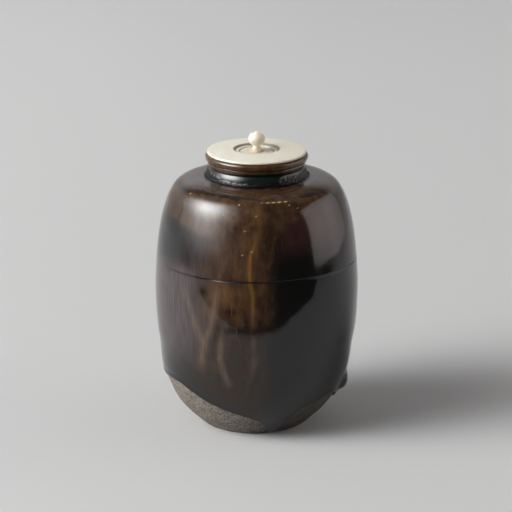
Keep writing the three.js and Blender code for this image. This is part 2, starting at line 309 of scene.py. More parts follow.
# %% [markdown]
# ## The coat of glaze
#
# The coat follows the wall at its own thickness: it rolls over at the lower edge, gathers where it
# ran, thins in the groove of the lip, and hangs in one heavy drop at the right, where a run froze as
# it was about to fall. Its underside lies a hair inside the clay, because glaze melts into it.

# %% Rows of the coat, from its lower edge to its end inside the mouth
JOIN_HEIGHT = 26 * MM
BEAD_ROWS = MM * np.array([0, 0.02, 0.06, 0.13, 0.23, 0.36, 0.52, 0.75, 1.1, 1.6])
LOWER_ROWS = 46
UNDER_ROWS = 30
MELT_DEPTH = 0.03 * MM
SHOULDER_HEIGHT = 75 * MM
WALL_STEP = 0.56 * MM
LINE_REACH = 0.48 * MM
LINE_STEP = 0.08 * MM
SHOULDER_STEP = 0.4 * MM
# Between these distances from the outline's end, the rows stand closer for the lip.
LIP_ENDS = (7.5 * MM, 3 * MM)
LIP_STEP = 0.2 * MM
LEAST_STEP = 0.03 * MM

join = length_at(JOIN_HEIGHT)
line = length_at(LINE_HEIGHT)
shoulder = length_at(SHOULDER_HEIGHT)
edge_length = length_at(edge_heights)[:, None]
bead = edge_length + BEAD_ROWS
lower = bead[:, -1:] + (join - bead[:, -1:]) * np.linspace(0, 1, LOWER_ROWS + 1)[1:-1]
upper = np.unique(np.round(np.concatenate([
    np.arange(join, shoulder, WALL_STEP),
    np.arange(line - LINE_REACH, line + LINE_REACH, LINE_STEP),
    np.arange(shoulder, wall_length, SHOULDER_STEP),
    np.arange(wall_length - LIP_ENDS[0], wall_length - LIP_ENDS[1], LIP_STEP),
    wall_length - BEAD_ROWS,
]), 6))
upper = upper[np.concatenate([[True], np.diff(upper) > LEAST_STEP])]
face_lengths = np.hstack([bead, lower, np.broadcast_to(upper, (COLUMNS, len(upper)))])
under_lengths = edge_length + (wall_length - edge_length) * np.linspace(1, 0, UNDER_ROWS)
print("the coat has", face_lengths.shape[1], "rows on its face and", UNDER_ROWS, "under it")

# %% A crumbly crust where the neck stands on the shoulder
# Azimuths are in degrees, and heights and radii in mm.
CRUST_TOP = [
    (-180, 80.6), (-112, 81.1), (-88, 82), (-72, 81.6), (-54, 81), (-40, 80.4), (0, 80.2), (24, 80.7),
    (42, 81.5), (60, 81.4), (80, 81.8), (102, 81.6), (130, 80.6), (180, 80.6),
]
CRUST_RADIUS = 16.2
CRUST_FRONT = 0.8
CRUST_LOWEST = 77


def read_off(table, value):
    """Reads the second column of a table between its rows, at values of the first column."""
    first, second = np.array(table).T
    return np.interp(value, first, second)


def crust_cover(azimuth, radius, height):
    """1 on the crust: inside a wavy ring on the shoulder, wider in front, and below a wavy height on
    the neck."""
    inside_of = MM * (CRUST_RADIUS + CRUST_FRONT * bell(azimuth - 5, 60))
    inside_of = inside_of + waves(azimuth, 0, seed=71, count=16, turns=70, rise=1, size=0.42 * MM)
    top = MM * read_off(CRUST_TOP, azimuth)
    top = top + waves(azimuth, 0, seed=72, count=16, turns=60, rise=1, size=0.2 * MM)
    on_neck = 1 - smoothstep(height, top - 0.25 * MM, top + 0.25 * MM)
    in_ring = 1 - smoothstep(radius, inside_of - 0.3 * MM, inside_of + 0.3 * MM)
    return on_neck * in_ring * (height > CRUST_LOWEST * MM)


# %% How thick the glaze is
GLAZE_BOND = 0.1 * MM
GLAZE_THICKNESS = 0.5 * MM
BEAD_WIDTH = 0.55 * MM
DROP_AZIMUTH = 84
DROP_RISE = 4.3 * MM
DROP_WIDTH = 15 * MM
DROP_ABOVE = 4.5 * MM
DROP_BELOW = 1.5 * MM
DROP_THICKNESS = 1.72 * MM
TONGUE_AZIMUTH = 15
CRUMB_SIZE = 0.19 * MM
MOUTH_END_WIDTH = 0.4 * MM


def rolled(distance, width):
    """A quarter round: 0 at an edge, rising steeply at first, and 1 from one width inwards."""
    inward = 1 - np.clip(distance / width, 0, 1)
    return np.sqrt(1 - inward**2)


def drop_height(azimuth, radius, height):
    """The frozen drop: a bell across, and an arch up and down that is longer above its thickest place
    than below it. It flows gently out of the glaze above and beside it, and its underside is steep,
    because it hung there."""
    centre = glaze_edge(np.array([float(DROP_AZIMUTH)]))[0] + DROP_RISE
    across = np.radians(azimuth - DROP_AZIMUTH) * radius
    rise = height - centre
    below = DROP_BELOW * (1 - 0.25 * np.clip(np.abs(across) / DROP_WIDTH, 0, 1))
    side = np.clip(1 - (across / (DROP_WIDTH / 2)) ** 2, 0, 1) ** 2.6
    above_share = np.clip(1 - (rise / DROP_ABOVE) ** 2, 0, 1) ** 1.5
    below_share = np.clip(1 - (rise / below) ** 2, 0, 1) ** 0.6
    return DROP_THICKNESS * side * np.where(rise > 0, above_share, below_share)


def glaze_thickness(azimuth, length, radius, height, share):
    """Usual thickness times its share, rolled at both ends, with a bead near the lower edge, a fuller
    tongue at the front, the drop, slow waves, crumbs on the crust, and glaze pooled in the cut line."""
    above_edge = length - edge_length
    bead_swell = 1 + 0.35 * bell(above_edge - 0.8 * MM, 0.6 * MM)
    tongue = 0.5 * bell(azimuth - TONGUE_AZIMUTH, 7) * bell(above_edge - 2 * MM, 3 * MM)
    uneven = waves(azimuth, height, seed=11, count=14, turns=16, rise=16 * MM, size=0.05)
    body = GLAZE_THICKNESS * share * (bead_swell + tongue + uneven)
    crumbs = waves(
        azimuth, height - radius, seed=73, count=40, turns=120, rise=0.9 * MM, size=CRUMB_SIZE)
    body = body + crumbs * crust_cover(azimuth, radius, height)
    pooled = 1 - 0.95 * smoothstep(azimuth, -30, -16) * (1 - 0.6 * smoothstep(azimuth, 55, 75))
    body = body + LINE_DEPTH * pooled * line_bite(height)
    ends = rolled(above_edge, BEAD_WIDTH) * rolled(wall_length - length, MOUTH_END_WIDTH)
    return (body + drop_height(azimuth, radius, height) + GLAZE_BOND) * ends


# %% The coat's mesh
column = azimuths[:, None]
radius, height, out_r, out_z, share = wall_at(face_lengths)
thickness = glaze_thickness(column, face_lengths, radius, height, share)
face = on_wall(column, radius + out_r * thickness, height + out_z * thickness)
face_heights, face_radii = height, radius

radius, height, out_r, out_z, share = wall_at(under_lengths)
under = on_wall(column, radius - out_r * MELT_DEPTH, height - out_z * MELT_DEPTH)
glaze_coat, glaze_used = grid_piece("glaze_surface", np.concatenate([face, under], axis=1), ring=True)
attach(glaze_coat, "jar")
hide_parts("glaze_coat")

# %% [markdown]
# ## Where the glaze is brown, amber or black
#
# Iron glaze is black where it is thick or cooled fast, brown where it is thin, and amber where other
# minerals ran down through it. A bloom of tiny crystals veils the left side, with a cool patch in it
# that has a dark red border. Noise alone would put these anywhere, so the runs and patches are placed:
# each point of the coat keeps a few numbers, and the material breaks up their edges with noise later.

# %% Runs, as half-width in mm, strength, and a path of azimuth in degrees and height in mm
AMBER_RUNS = [
    (0.8, 0.25, [(0.5, 76.2), (0.9, 73), (1.8, 69.8), (-0.1, 66.9)]),
    (1.0, 0.27, [(-0.1, 68), (-1.2, 65.1), (-3.5, 62.1), (-4.1, 60.3), (-4, 54.8)]),
    (0.36, 0.6, [(-1.2, 65.5), (-3.5, 62.1), (-4.1, 60.3), (-4, 54.8)]),
    (0.8, 0.25, [(-4, 56), (-2.9, 51.6), (-2.2, 48.5), (-2.2, 43.8)]),
    (0.36, 0.35, [(-4, 56), (-2.9, 51.6), (-2.2, 48.5), (-2.4, 40)]),
    (0.5, 0.25, [(-19.4, 53.2), (-16.9, 48.1)]),
    (1.0, 0.45, [(148, 74), (150, 60), (146, 48), (149, 33), (152, 22)]),
    (1.1, 0.4, [(-118, 73), (-121, 58), (-117, 42), (-119, 26)]),
    (0.9, 0.35, [(112, 72), (115, 58), (111, 44)]),
]
TAN_RUNS = [
    (5, 0.11, [(-24, 64), (-27, 50), (-30, 40), (-29, 24)]),
    (3.2, 0.1, [(0.5, 70), (-1.2, 65.1), (-3.5, 62.1), (-4.1, 60.3), (-4, 54.8)]),
    (0.9, 0.3, [(-2.2, 44.5), (-1.2, 39), (-1.8, 34), (-1.6, 24)]),
    (1.3, 0.5, [(-45.2, 50), (-39.8, 43), (-35.1, 37), (-31.5, 32.5), (-34.8, 25.3)]),
    (1.2, 0.64, [(-22.4, 53.2), (-22.8, 47.8), (-25.2, 41.2), (-29.4, 34.3)]),
    (0.9, 0.62, [(-20, 37.5), (-21, 32.3), (-21.4, 28.3), (-19.5, 24.3), (-16.6, 20.4)]),
    (1.7, 0.3, [(-10.6, 66), (-15.1, 62.1), (-17.4, 58)]),
    (0.9, 0.4, [(163, 70), (160, 57), (152, 47)]),
    (0.9, 0.4, [(-133, 66), (-130, 52), (-122, 40)]),
    (0.8, 0.3, [(-168, 68), (-166, 50), (-170, 36)]),
]
BORDER_RUNS = [(1.4, 0.6, [(-75.9, 75), (-74.4, 68.8), (-69, 65.5), (-61.5, 60.8), (-51.8, 57.4)])]

# %% Patches, and painted glints as pale specks and golden dashes, by azimuth in degrees and height in mm
# A dark patch is azimuth, height, half-width in degrees, half-height in mm, and strength. A golden
# glint is azimuth and strength.
# The four patches low in front, near 38.5 mm, are a painted dark reflection along the table's mirrored
# front edge. The others are blotches in the glaze.
DARK_PATCHES_AND_EDGE_REFLECTION = [
    (-32.2, 49.8, 3.2, 1.6, 0.7), (-15.1, 44.4, 4, 1.2, 0.8), (-11.2, 38.4, 7, 0.9, 1),
    (7.1, 38.9, 4, 0.8, 1), (-13.3, 70.2, 0.8, 1.2, 0.9), (-22.9, 38.5, 2.6, 4, 0.55),
    (-1, 38.2, 1.6, 1.6, 0.7), (-74, 69, 2.5, 3, 0.6), (170, 47, 6, 3, 0.8), (-140, 55, 5, 3, 0.7),
    (128, 40, 5, 2, 0.8), (8, 66, 8, 6, 0.6),
]
# The pale specks are painted glints: small pits that catch the light, drawn as pale colour.
GLINT_SPECKS = [
    (-0.4, 73.65), (14.6, 73.3), (22.8, 75.9), (27.9, 74.9), (-12, 76.3), (-3.2, 63.3), (-8.1, 62.3),
    (-9.2, 59.2), (-7.1, 69.3), (-54.9, 70.8),
]
GOLDEN_GLINT_DASHES = [(3.4, 0.5), (7.6, 0.6), (11.9, 0.7), (16.2, 0.9), (20.8, 1), (-55.4, 0.8)]
GLINT_RING_RADIUS = 24.35 * MM

# %% The ring on the shoulder, the foot of the brown lip, and how far round the brown reaches
# Rows of the ring are azimuth and radius, rows of the lip's foot are azimuth and height, and rows of
# the brown's two sides are height and azimuth, in degrees and mm.
SHOULDER_RING = [
    (-180, 23), (-63, 24.1), (-49.5, 22.8), (-29, 22.5), (-11, 22.6), (0.6, 23.3), (34, 23.4), (61, 23.9),
    (180, 23),
]
LIP_FOOT = [
    (-180, 82.6), (-85, 81.9), (-70, 82.3), (-50, 83), (-30, 83.4), (0, 83.7), (30, 83.6), (60, 83.1),
    (85, 82.4), (180, 82.6),
]
BROWN_LEFT = [(30, -34), (56, -32), (60, -27), (66, -30), (69, -58), (72, -85), (76, -105)]
BROWN_RIGHT = [(30, 6), (44, 8), (57, 9), (62, 11), (67, 16), (71, 24), (76, 62)]


def run_strength(azimuth, radius, height, half_width, strength, path):
    """A run follows its path down the wall: a bell across it, fading over a few mm at both ends."""
    degrees, heights = np.array(path[::-1]).T
    heights = heights * MM
    sideways = np.radians(azimuth - np.interp(height, heights, degrees)) * radius
    ends = smoothstep(height, heights[0] - 3 * MM, heights[0] + 3 * MM)
    ends = ends * (1 - smoothstep(height, heights[-1] - 3 * MM, heights[-1] + 2 * MM))
    return strength * bell(sideways, half_width * MM) * ends


def patch_strength(azimuth, height, centre, middle, wide, tall, strength):
    """A patch is a bell both ways, in degrees and mm."""
    return strength * bell(azimuth - centre, wide) * bell(height - middle * MM, tall * MM)


# %% Numbers over the coat, in degrees round the jar and in mm
def over_coat(on_face):
    """The face's values, with the unseen underside left at 0."""
    return np.concatenate([on_face, np.zeros(under_lengths.shape)], axis=1)


def all_runs(runs):
    """The strengths of several runs together, at each point of the coat's face."""
    return sum(run_strength(column, face_radii, face_heights, *run) for run in runs)


around = np.broadcast_to(column, face_heights.shape)
height_mm = face_heights / MM
above_edge = (face_lengths - edge_length) / MM
sway = waves(column, face_heights, seed=21, count=10, turns=9, rise=30 * MM, size=3.5)

# %% The shoulder, its ring, the crust, the lip and the neck
on_shoulder = face_heights > SHOULDER_HEIGHT
ring_gap = face_radii - MM * read_off(SHOULDER_RING, around)
ring_gap = ring_gap + waves(column, 0, seed=23, count=16, turns=70, rise=1, size=0.22 * MM)
above_ring = on_shoulder * (1 - smoothstep(ring_gap, -0.4 * MM, 0.35 * MM))
crust = crust_cover(column, face_radii, face_heights)
brown_foot = read_off(LIP_FOOT, around) + waves(column, 0, seed=24, count=16, turns=40, rise=1, size=0.15)
lip = smoothstep(height_mm, brown_foot - 0.2, brown_foot + 0.3)
neck = smoothstep(height_mm, 79.4, 79.6) * (1 - lip)

# %% Brown and rust
left_gap = around + sway - read_off(BROWN_LEFT, height_mm)
right_gap = around + sway - read_off(BROWN_RIGHT, height_mm)
front_brown = smoothstep(left_gap, -14, 12) * (1 - smoothstep(right_gap, -4, 6))
front_brown = front_brown * (0.3 + 0.7 * smoothstep(height_mm, 36, 46))
front_brown = front_brown * (0.75 + 0.25 * smoothstep(around, -60, -35))
back_clouds = waves(column, face_heights, seed=5, count=12, turns=5, rise=60 * MM, size=1)
back_brown = smoothstep(back_clouds, 0, 0.7) * smoothstep(np.abs(around), 95, 120)
on_top = on_shoulder * smoothstep(height_mm, 74, 76.5)
brown = np.maximum(front_brown + back_brown, on_top)
brown = brown * (1 - 0.15 * above_ring) * (1 - neck) * (1 - crust)
brown = brown + lip * (1 - 0.3 * smoothstep(around, 0, 45))
rust = smoothstep(right_gap, -8, 6) * smoothstep(height_mm, 59, 67)
rust = rust * (1 - smoothstep(around, 90, 115)) * (1 - on_top)

# %% The veil of crystals, and the cool tint
veil = smoothstep(around + sway, -110, -80) * (1 - smoothstep(around + sway, -52, -22))
veil = veil * smoothstep(height_mm, 14, 38) * (1 - smoothstep(height_mm, 52, 60))
striped = bell(around + 40, 17) * bell(height_mm - 62, 9)
dusted = bell(around + 70, 32) * smoothstep(height_mm, 77.6, 78) * (1 - neck) * (1 - lip) * (1 - crust)

cool_patch = bell(around + 58, 9) * bell(height_mm - 61, 5.5)
cool_edge = bell(above_edge - 1.5, 3) * smoothstep(around, -90, -60) * (1 - smoothstep(around, -5, 15))
teal = neck + 0.85 * cool_patch + 0.7 * cool_edge

# %% Painted glints, blotches and the ring's dark line
glint_specks = sum(
    bell(np.radians(column - at) * face_radii, 0.3 * MM) * bell(face_heights - rise * MM, 0.2 * MM)
    for at, rise in GLINT_SPECKS
)
# The golden dashes along the ring are painted highlights on its small bumps.
glint_dashes = sum(
    strength * bell(np.radians(column - at) * face_radii, 0.5 * MM) for at, strength in GOLDEN_GLINT_DASHES
)
glint_thread = 0.4 * bell(around - 12, 9) * bell(face_radii - GLINT_RING_RADIUS, 0.12 * MM)
golden_glints = on_shoulder * (glint_dashes * bell(face_radii - GLINT_RING_RADIUS, 0.16 * MM) + glint_thread)
dark_and_edge_reflection = sum(patch_strength(column, face_heights, *patch) for patch in DARK_PATCHES_AND_EDGE_REFLECTION)
lumpy = 0.5 + waves(column, 0, seed=25, count=16, turns=80, rise=1, size=0.7)
lumpy = np.clip(lumpy, 0.3, 1) * (1 - 0.7 * smoothstep(around, -12, 4)) + 0.5 * bell(around - 42, 8)
ring_line = np.clip(2 * lumpy * bell(ring_gap, 0.48 * MM), 0, 1) * on_shoulder * (height_mm < 78.8)

# %% The numbers that each point of the coat keeps
coat_numbers = {
    "amber": all_runs(AMBER_RUNS) + 0.12 * lip,
    "tan": all_runs(TAN_RUNS),
    "rust": rust,
    "dark_and_edge_reflection": dark_and_edge_reflection,
    "border": all_runs(BORDER_RUNS),
    "teal": teal,
    "glint_specks": glint_specks + golden_glints,
    "golden_glints": golden_glints,
    "brown": brown,
    "bloom": veil + 0.5 * striped + dusted,
    "crust": crust,
    "ring": ring_line,
    "hairy": 1 - smoothstep(around, 5, 35) * (1 - smoothstep(around, 110, 140)),
    "line": bell(face_heights - LINE_HEIGHT, 0.36 * MM) * (1 - 0.8 * bell(around + 80, 27)),
}
for name, values in coat_numbers.items():
    paint(glaze_coat, glaze_used, name, over_coat(np.clip(values, 0, 1)))
    print(name, "covers", round(100 * float((values > 0.3).mean()), 1), "% of the coat")

# %% [markdown]
# ## The clay jar
#
# Below the glaze the clay is bare: coarse, grey-buff, with the ridges that the potter's tool left. The
# base still shows how the jar left the wheel: a cord was pulled through under it as it turned, which
# leaves a spiral of fine grooves round a point beside the centre. The inside has the soft spiral of
# the potter's fingers. All of it is one closed grid, from the middle of the base round to the floor.

# %% The clay's profile: base, foot, wall under the glaze, mouth and inside
CLAY_COLUMNS = 320
BASE_ROWS = 64
CORD_PITCH = 1.15 * MM
CORD_DEPTH = 0.16 * MM
CORD_CENTRE = (3.1 * MM, -1.8 * MM)
CORD_ENDS = (14.7 * MM, 15.7 * MM)
RIDGE_SIZE = 0.05 * MM
SHOWN_STEP = 0.34 * MM
SHOWN_TOP = 24 * MM
COVERED_ROWS = 40
FINGER_PITCH = 5.2 * MM
FINGER_DEPTH = 0.14 * MM
INSIDE_ROWS = 110
INSIDE_POINTS = MM * np.array([
    (12.6, 82.9), (12.6, 81.2), (12.75, 79.2), (13.8, 77.2), (17, 76.25), (21.4, 75.3), (23.9, 73.2),
    (25.4, 69.1), (26.5, 65.2), (27.5, 59.6), (28.3, 50), (28.5, 44), (27.9, 32), (26.3, 21),
    (25.3, 16.6), (24, 13.2), (21.8, 9.6), (18.6, 7.3), (14.8, 4.75), (9.9, 4.05), (5, 4), (0, 4),
])

clay_azimuths = all_round(CLAY_COLUMNS)
base_radii = np.linspace(0, 15.8 * MM, BASE_ROWS)
foot_round = MM * np.array([(15.95, 0.02), (16.12, 0.07), (16.32, 0.18), (16.52, 0.33)])
wall_lengths = np.concatenate([
    np.arange(length_at(0.5 * MM), length_at(SHOWN_TOP), SHOWN_STEP),
    np.linspace(length_at(SHOWN_TOP + 0.5 * MM), wall_length, COVERED_ROWS),
])
clay_r, clay_z = wall_at(wall_lengths)[:2]
inside_places = np.linspace(0, len(INSIDE_POINTS) - 1, INSIDE_ROWS)[1:]
inside_r, inside_z = centripetal(INSIDE_POINTS, inside_places).T
profile_r = np.concatenate([base_radii, foot_round[:, 0], clay_r, inside_r])
profile_z = np.concatenate([np.zeros(BASE_ROWS), foot_round[:, 1], clay_z, inside_z])
first_wall = BASE_ROWS + len(foot_round)
first_inside = first_wall + len(wall_lengths)

# %% The clay's mesh
clay_radius = np.broadcast_to(profile_r, (CLAY_COLUMNS, len(profile_r))).copy()
clay_height = np.broadcast_to(profile_z, clay_radius.shape).copy()

flat = placed(clay_azimuths, clay_radius[:, :BASE_ROWS], 0)
from_cord = flat[..., :2] - CORD_CENTRE
distance = np.linalg.norm(from_cord, axis=-1)
turn = np.arctan2(from_cord[..., 1], from_cord[..., 0]) / (2 * math.pi)
groove = 0.5 + 0.5 * np.cos(2 * math.pi * (distance / CORD_PITCH - turn))
inner = 1 - smoothstep(clay_radius[:, :BASE_ROWS], *CORD_ENDS)
clay_height[:, :BASE_ROWS] = CORD_DEPTH * groove**2 * inner

outer = slice(first_wall, first_inside)
outer_z = clay_height[:, outer]
ridges = waves(clay_azimuths, outer_z, seed=31, count=12, turns=2, rise=1.7 * MM, size=RIDGE_SIZE)
bare = 1 - smoothstep(outer_z, 15 * MM, 19 * MM)
clay_radius[:, outer] += ridges * bare * smoothstep(outer_z, 0.3 * MM, 1.2 * MM)

inner_rows = slice(first_inside, None)
inner_z = clay_height[:, inner_rows]
spiral = np.sin(2 * math.pi * inner_z / FINGER_PITCH + np.radians(clay_azimuths))
away_from_mouth = 1 - smoothstep(inner_z, 70 * MM, 76 * MM)
away_from_floor = smoothstep(clay_radius[:, inner_rows], 4 * MM, 12 * MM)
clay_radius[:, inner_rows] += FINGER_DEPTH * spiral * away_from_mouth * away_from_floor

clay_jar, clay_used = grid_piece(
    "clay_jar", on_wall(clay_azimuths, clay_radius, clay_height), pole_first=True, pole_last=True)

# %% Painted shade on the bare clay's side away from the left light, a slight darkening at its left, and the jar's place in the frame
clay_shade = smoothstep(clay_azimuths, -25, 42) * (1 - smoothstep(clay_azimuths, 100, 130))
clay_shade = clay_shade + 0.15 * (1 - smoothstep(clay_azimuths, -62, -35))
clay_shade = clay_shade * smoothstep(clay_radius, 15 * MM, 17 * MM) * (np.arange(len(profile_r)) < first_inside)
paint(clay_jar, clay_used, "clay_shade", clay_shade)
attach(clay_jar, "jar")
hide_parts("clay_body")

# %% [markdown]
# ## The lid
#
# The lid was turned on a lathe from one pale, dense material: a plate with a stepped well, and a knob
# that is glued into it. Sharp corners would look machined, so every corner of the profile is eased by
# a short curve, as a scraper and polish leave it. A Bevel modifier could do that too, but the profile
# gives each corner its own roundness.

# %% Profiles with eased corners
def eased(corners, steps=7):
    """A profile through (radius, height, ease) corners in mm. Each corner becomes a curve that leaves
    one side and joins the other at the distance ease, bending towards the corner."""
    points = np.array([corner[:2] for corner in corners], float)
    out = [points[0]]
    for before, here, after, (_, _, ease) in zip(points, points[1:], points[2:], corners[1:]):
        if ease == 0:
            out.append(here)
            continue
        start = here + (before - here) * min(0.48, ease / np.linalg.norm(before - here))
        end = here + (after - here) * min(0.48, ease / np.linalg.norm(after - here))
        for t in np.linspace(0, 1, steps):
            out.append((1 - t) ** 2 * start + 2 * t * (1 - t) * here + t**2 * end)
    out.append(points[-1])
    return MM * np.array(out)


def filled(profile, spacing):
    """The same profile with extra points, so that no two stand further apart than spacing."""
    pieces = [
        np.linspace(start, end, max(1, math.ceil(np.linalg.norm(end - start) / spacing)), endpoint=False)
        for start, end in zip(profile, profile[1:])
    ]
    return np.vstack([*pieces, profile[-1:]])


# %% The plate, from the middle of its plug round the edge to the bottom of the knob's hole
LID_COLUMNS = 256
PLATE = [
    (0, 84.1, 0), (11.5, 84.1, 0.35), (11.5, 86.7, 0.15), (15.4, 86.7, 0.2), (15.4, 87.05, 0.25),
    (15.28, 87.32, 0.2), (14.9, 87.43, 0.3), (11.3, 87.72, 1), (7.5, 87.85, 0.12), (7.28, 87.8, 0.12),
    (6.8, 87.5, 0.2), (6.45, 87.24, 0.1), (5.95, 87.28, 0.12), (5.6, 87.2, 0.1), (5.38, 86.88, 0.06),
    (5.22, 86.88, 0.06), (5.05, 87.02, 0.08), (2.3, 87, 0.3), (1.3, 87, 0.1), (1.3, 85.4, 0.1),
    (0, 85.4, 0),
]
PLATE_SPACING = 0.35 * MM

lid_azimuths = all_round(LID_COLUMNS)
plate_profile = filled(eased(PLATE), PLATE_SPACING)
plate_r, plate_z = plate_profile.T
lid_plate, plate_used = grid_piece(
    "ivory_plate", placed(lid_azimuths, plate_r, plate_z), pole_first=True, pole_last=True)

# %% Soil on the well's floor, painted shade on the well's wall and step and at the far rim, and the plate's place in the frame
in_well = (plate_z > 86.8 * MM) & (plate_r < 7.45 * MM)
floor_soil = 0.42 * (1 - smoothstep(plate_r, 5.3 * MM, 6 * MM))
# The well's sloping wall and the groove of its step get painted shade, with some grime.
slope_shade_and_grime = smoothstep(plate_r, 6.2 * MM, 6.5 * MM) * (1 - smoothstep(plate_r, 7.1 * MM, 7.45 * MM))
step_shade_and_grime = bell(plate_r - 5.3 * MM, 0.17 * MM)
shade_and_grime = 0.9 * in_well * (slope_shade_and_grime + step_shade_and_grime)
# The plate is made a little darker and yellower towards +X.
rightward_darkening = 0.2 * smoothstep(plate_r * np.sin(np.radians(lid_azimuths)), -4 * MM, 13 * MM)
# The plate's far rim gets painted shade.
at_back = smoothstep(-np.cos(np.radians(lid_azimuths)), 0.5, 0.9)
far_rim_shade = 0.7 * at_back * smoothstep(plate_r, 13.4 * MM, 15 * MM)
paint(lid_plate, plate_used, "soil_and_shade", in_well * floor_soil + rightward_darkening + far_rim_shade)
paint(lid_plate, plate_used, "shade_and_grime", np.broadcast_to(shade_and_grime, (LID_COLUMNS, len(shade_and_grime))))
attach(lid_plate, "lid")
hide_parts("lid_plate")

# %% The knob: tenon, flared foot, waist, ball, a ringed shelf and a tip
# The ball's sizes are in mm, and its ends in degrees above its middle.
KNOB_COLUMNS = 128
BALL_CENTRE = 91.0
BALL_RADIUS = 2.6
BALL_RISE = 2.3
BALL_ENDS = (-62, 48.7)
BALL_STEPS = 34
KNOB_SPACING = 0.2 * MM
KNOB_FOOT = [
    (0, 85.5, 0), (1.2, 85.5, 0.1), (1.2, 87.1, 0.05), (2.2, 87.06, 0.1), (2.14, 87.2, 0.12),
    (1.7, 87.5, 0.35), (1.25, 88.15, 0.4), (1.13, 88.75, 0.2),
]
KNOB_TOP = [
    (1.5, 92.8, 0.05), (1.42, 92.7, 0.04), (1.3, 92.7, 0.04), (1.22, 92.82, 0.05), (0.98, 92.86, 0.06),
    (0.86, 93.1, 0.12), (0.5, 93.25, 0.25), (0, 93.25, 0),
]

ball_angles = np.linspace(math.radians(BALL_ENDS[0]), math.radians(BALL_ENDS[1]), BALL_STEPS)
ball = [
    (BALL_RADIUS * math.cos(angle), BALL_CENTRE + BALL_RISE * math.sin(angle), 0)
    for angle in ball_angles
]
knob_r, knob_z = filled(eased(KNOB_FOOT + ball + KNOB_TOP), KNOB_SPACING).T
lid_knob, knob_used = grid_piece(
    "ivory_knob", placed(all_round(KNOB_COLUMNS), knob_r, knob_z), pole_first=True, pole_last=True)
foot_soil = 1 - smoothstep(knob_z, 87.5 * MM, 88.5 * MM)
shelf_soil = 0.8 * bell(knob_r - 1.36 * MM, 0.1 * MM) * (knob_z > 92 * MM)
knob_soil = foot_soil + shelf_soil
paint(lid_knob, knob_used, "soil_and_shade", np.broadcast_to(knob_soil, (KNOB_COLUMNS, len(knob_soil))))
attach(lid_knob, "lid")
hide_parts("lid_knob")

# %% [markdown]
# ## The leaf under the lid
#
# The underside of such a lid is lined with paper that carries gold leaf. Leaf is so thin that it
# wrinkles over the paper's folds. Cloth simulation would be far too much for a disc that is glued
# down, so the wrinkles are heights over a round grid.

# %% The lining: a thin disc with creases on its lower face
LEAF_COLUMNS = 240
LEAF_RADIUS = 11.1 * MM
LEAF_TOP = 84.05 * MM
LEAF_THICKNESS = 0.3 * MM
LEAF_CREASE = 0.07 * MM
LEAF_FOLDS = 46
LEAF_ROWS = 56
LEAF_RAGGED = 0.004
LOW_FACE_SHARE = 0.998
FOLD_WIDTH = 0.5 * MM


def creases(x, y, seed, count, length, size):
    """Ridges of a crumpled sheet: along each of several straight folds, a height that falls off on
    both sides of the fold. The largest of them wins at each point."""
    random = np.random.default_rng(seed)
    height = np.zeros(x.shape)
    for _ in range(count):
        angle, offset = random.uniform(0, math.pi), random.uniform(-1, 1) * length
        away = np.abs(x * math.cos(angle) + y * math.sin(angle) - offset)
        along = -x * math.sin(angle) + y * math.cos(angle) - random.uniform(-1, 1) * length
        ridge = random.uniform(0.4, 1) * np.exp(-away / FOLD_WIDTH) * bell(along, 0.7 * length)
        height = np.maximum(height, ridge)
    return size * height


leaf_azimuths = all_round(LEAF_COLUMNS)
share_out = np.linspace(0, 1, LEAF_ROWS)
rim = 1 + waves(leaf_azimuths, 0, seed=41, count=8, turns=24, rise=1, size=LEAF_RAGGED)
low_r = LEAF_RADIUS * share_out * rim * LOW_FACE_SHARE
low_x, low_y, _ = np.moveaxis(placed(leaf_azimuths, low_r, 0), -1, 0)
fold = creases(low_x, low_y, seed=43, count=LEAF_FOLDS, length=LEAF_RADIUS, size=LEAF_CREASE)
fold = fold * (1 - smoothstep(share_out, 0.93, 1)) * smoothstep(share_out, 0, 0.04)
low_z = LEAF_TOP - LEAF_THICKNESS + fold
high_r = LEAF_RADIUS * rim * np.array([1, 0.99, 0.5, 0])
leaf_r = np.hstack([low_r, high_r])
leaf_z = np.hstack([low_z, np.broadcast_to(LEAF_TOP - MM * np.array([0.06, 0, 0, 0]), high_r.shape)])
leaf_lining, _ = grid_piece(
    "leaf_lining", placed(leaf_azimuths, leaf_r, leaf_z), pole_first=True, pole_last=True)
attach(leaf_lining, "lid")
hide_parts("gold_leaf_lining")

# %% [markdown]
# ## Wiring materials
#
# A finish is a small graph of nodes. Some helpers keep that wiring short: one adds a node and fills
# its inputs, and the others are for what every finish needs, such as noise, arithmetic and mixing.

# %% Helpers for node graphs
def add(tree, kind, inputs=None, **settings):
    """Adds a shader node. An input is a plain value, or the output of another node."""
    node = tree.nodes.new("ShaderNode" + kind)
    for name, value in settings.items():
        setattr(node, name, value)
    for name, value in (inputs or {}).items():
        if isinstance(value, bpy.types.NodeSocket):
            tree.links.new(value, node.inputs[name])
        else:
            node.inputs[name].default_value = value
    return node


def calc(tree, operation, first, second=0.0, clamp=False):
    """Arithmetic on two values."""
    return add(tree, "Math", {0: first, 1: second}, operation=operation, use_clamp=clamp).outputs[0]


def spread(tree, value, low, high, to_low=0.0, to_high=1.0):
    """A smooth step: to_low below low, and to_high above high."""
    inputs = {"Value": value, "From Min": low, "From Max": high, "To Min": to_low, "To Max": to_high}
    return add(tree, "MapRange", inputs, interpolation_type="SMOOTHSTEP").outputs[0]


def mix(tree, factor, first, second, kind="MIX"):
    """One colour over another, by a factor."""
    node = add(tree, "Mix", {0: factor, 6: first, 7: second}, data_type="RGBA", blend_type=kind)
    return node.outputs[2]


def stretched(tree, vector, scale):
    """The same place with each axis multiplied, so that a pattern is drawn out along the small ones."""
    return add(tree, "Mapping", {"Vector": vector, "Scale": scale}).outputs[0]


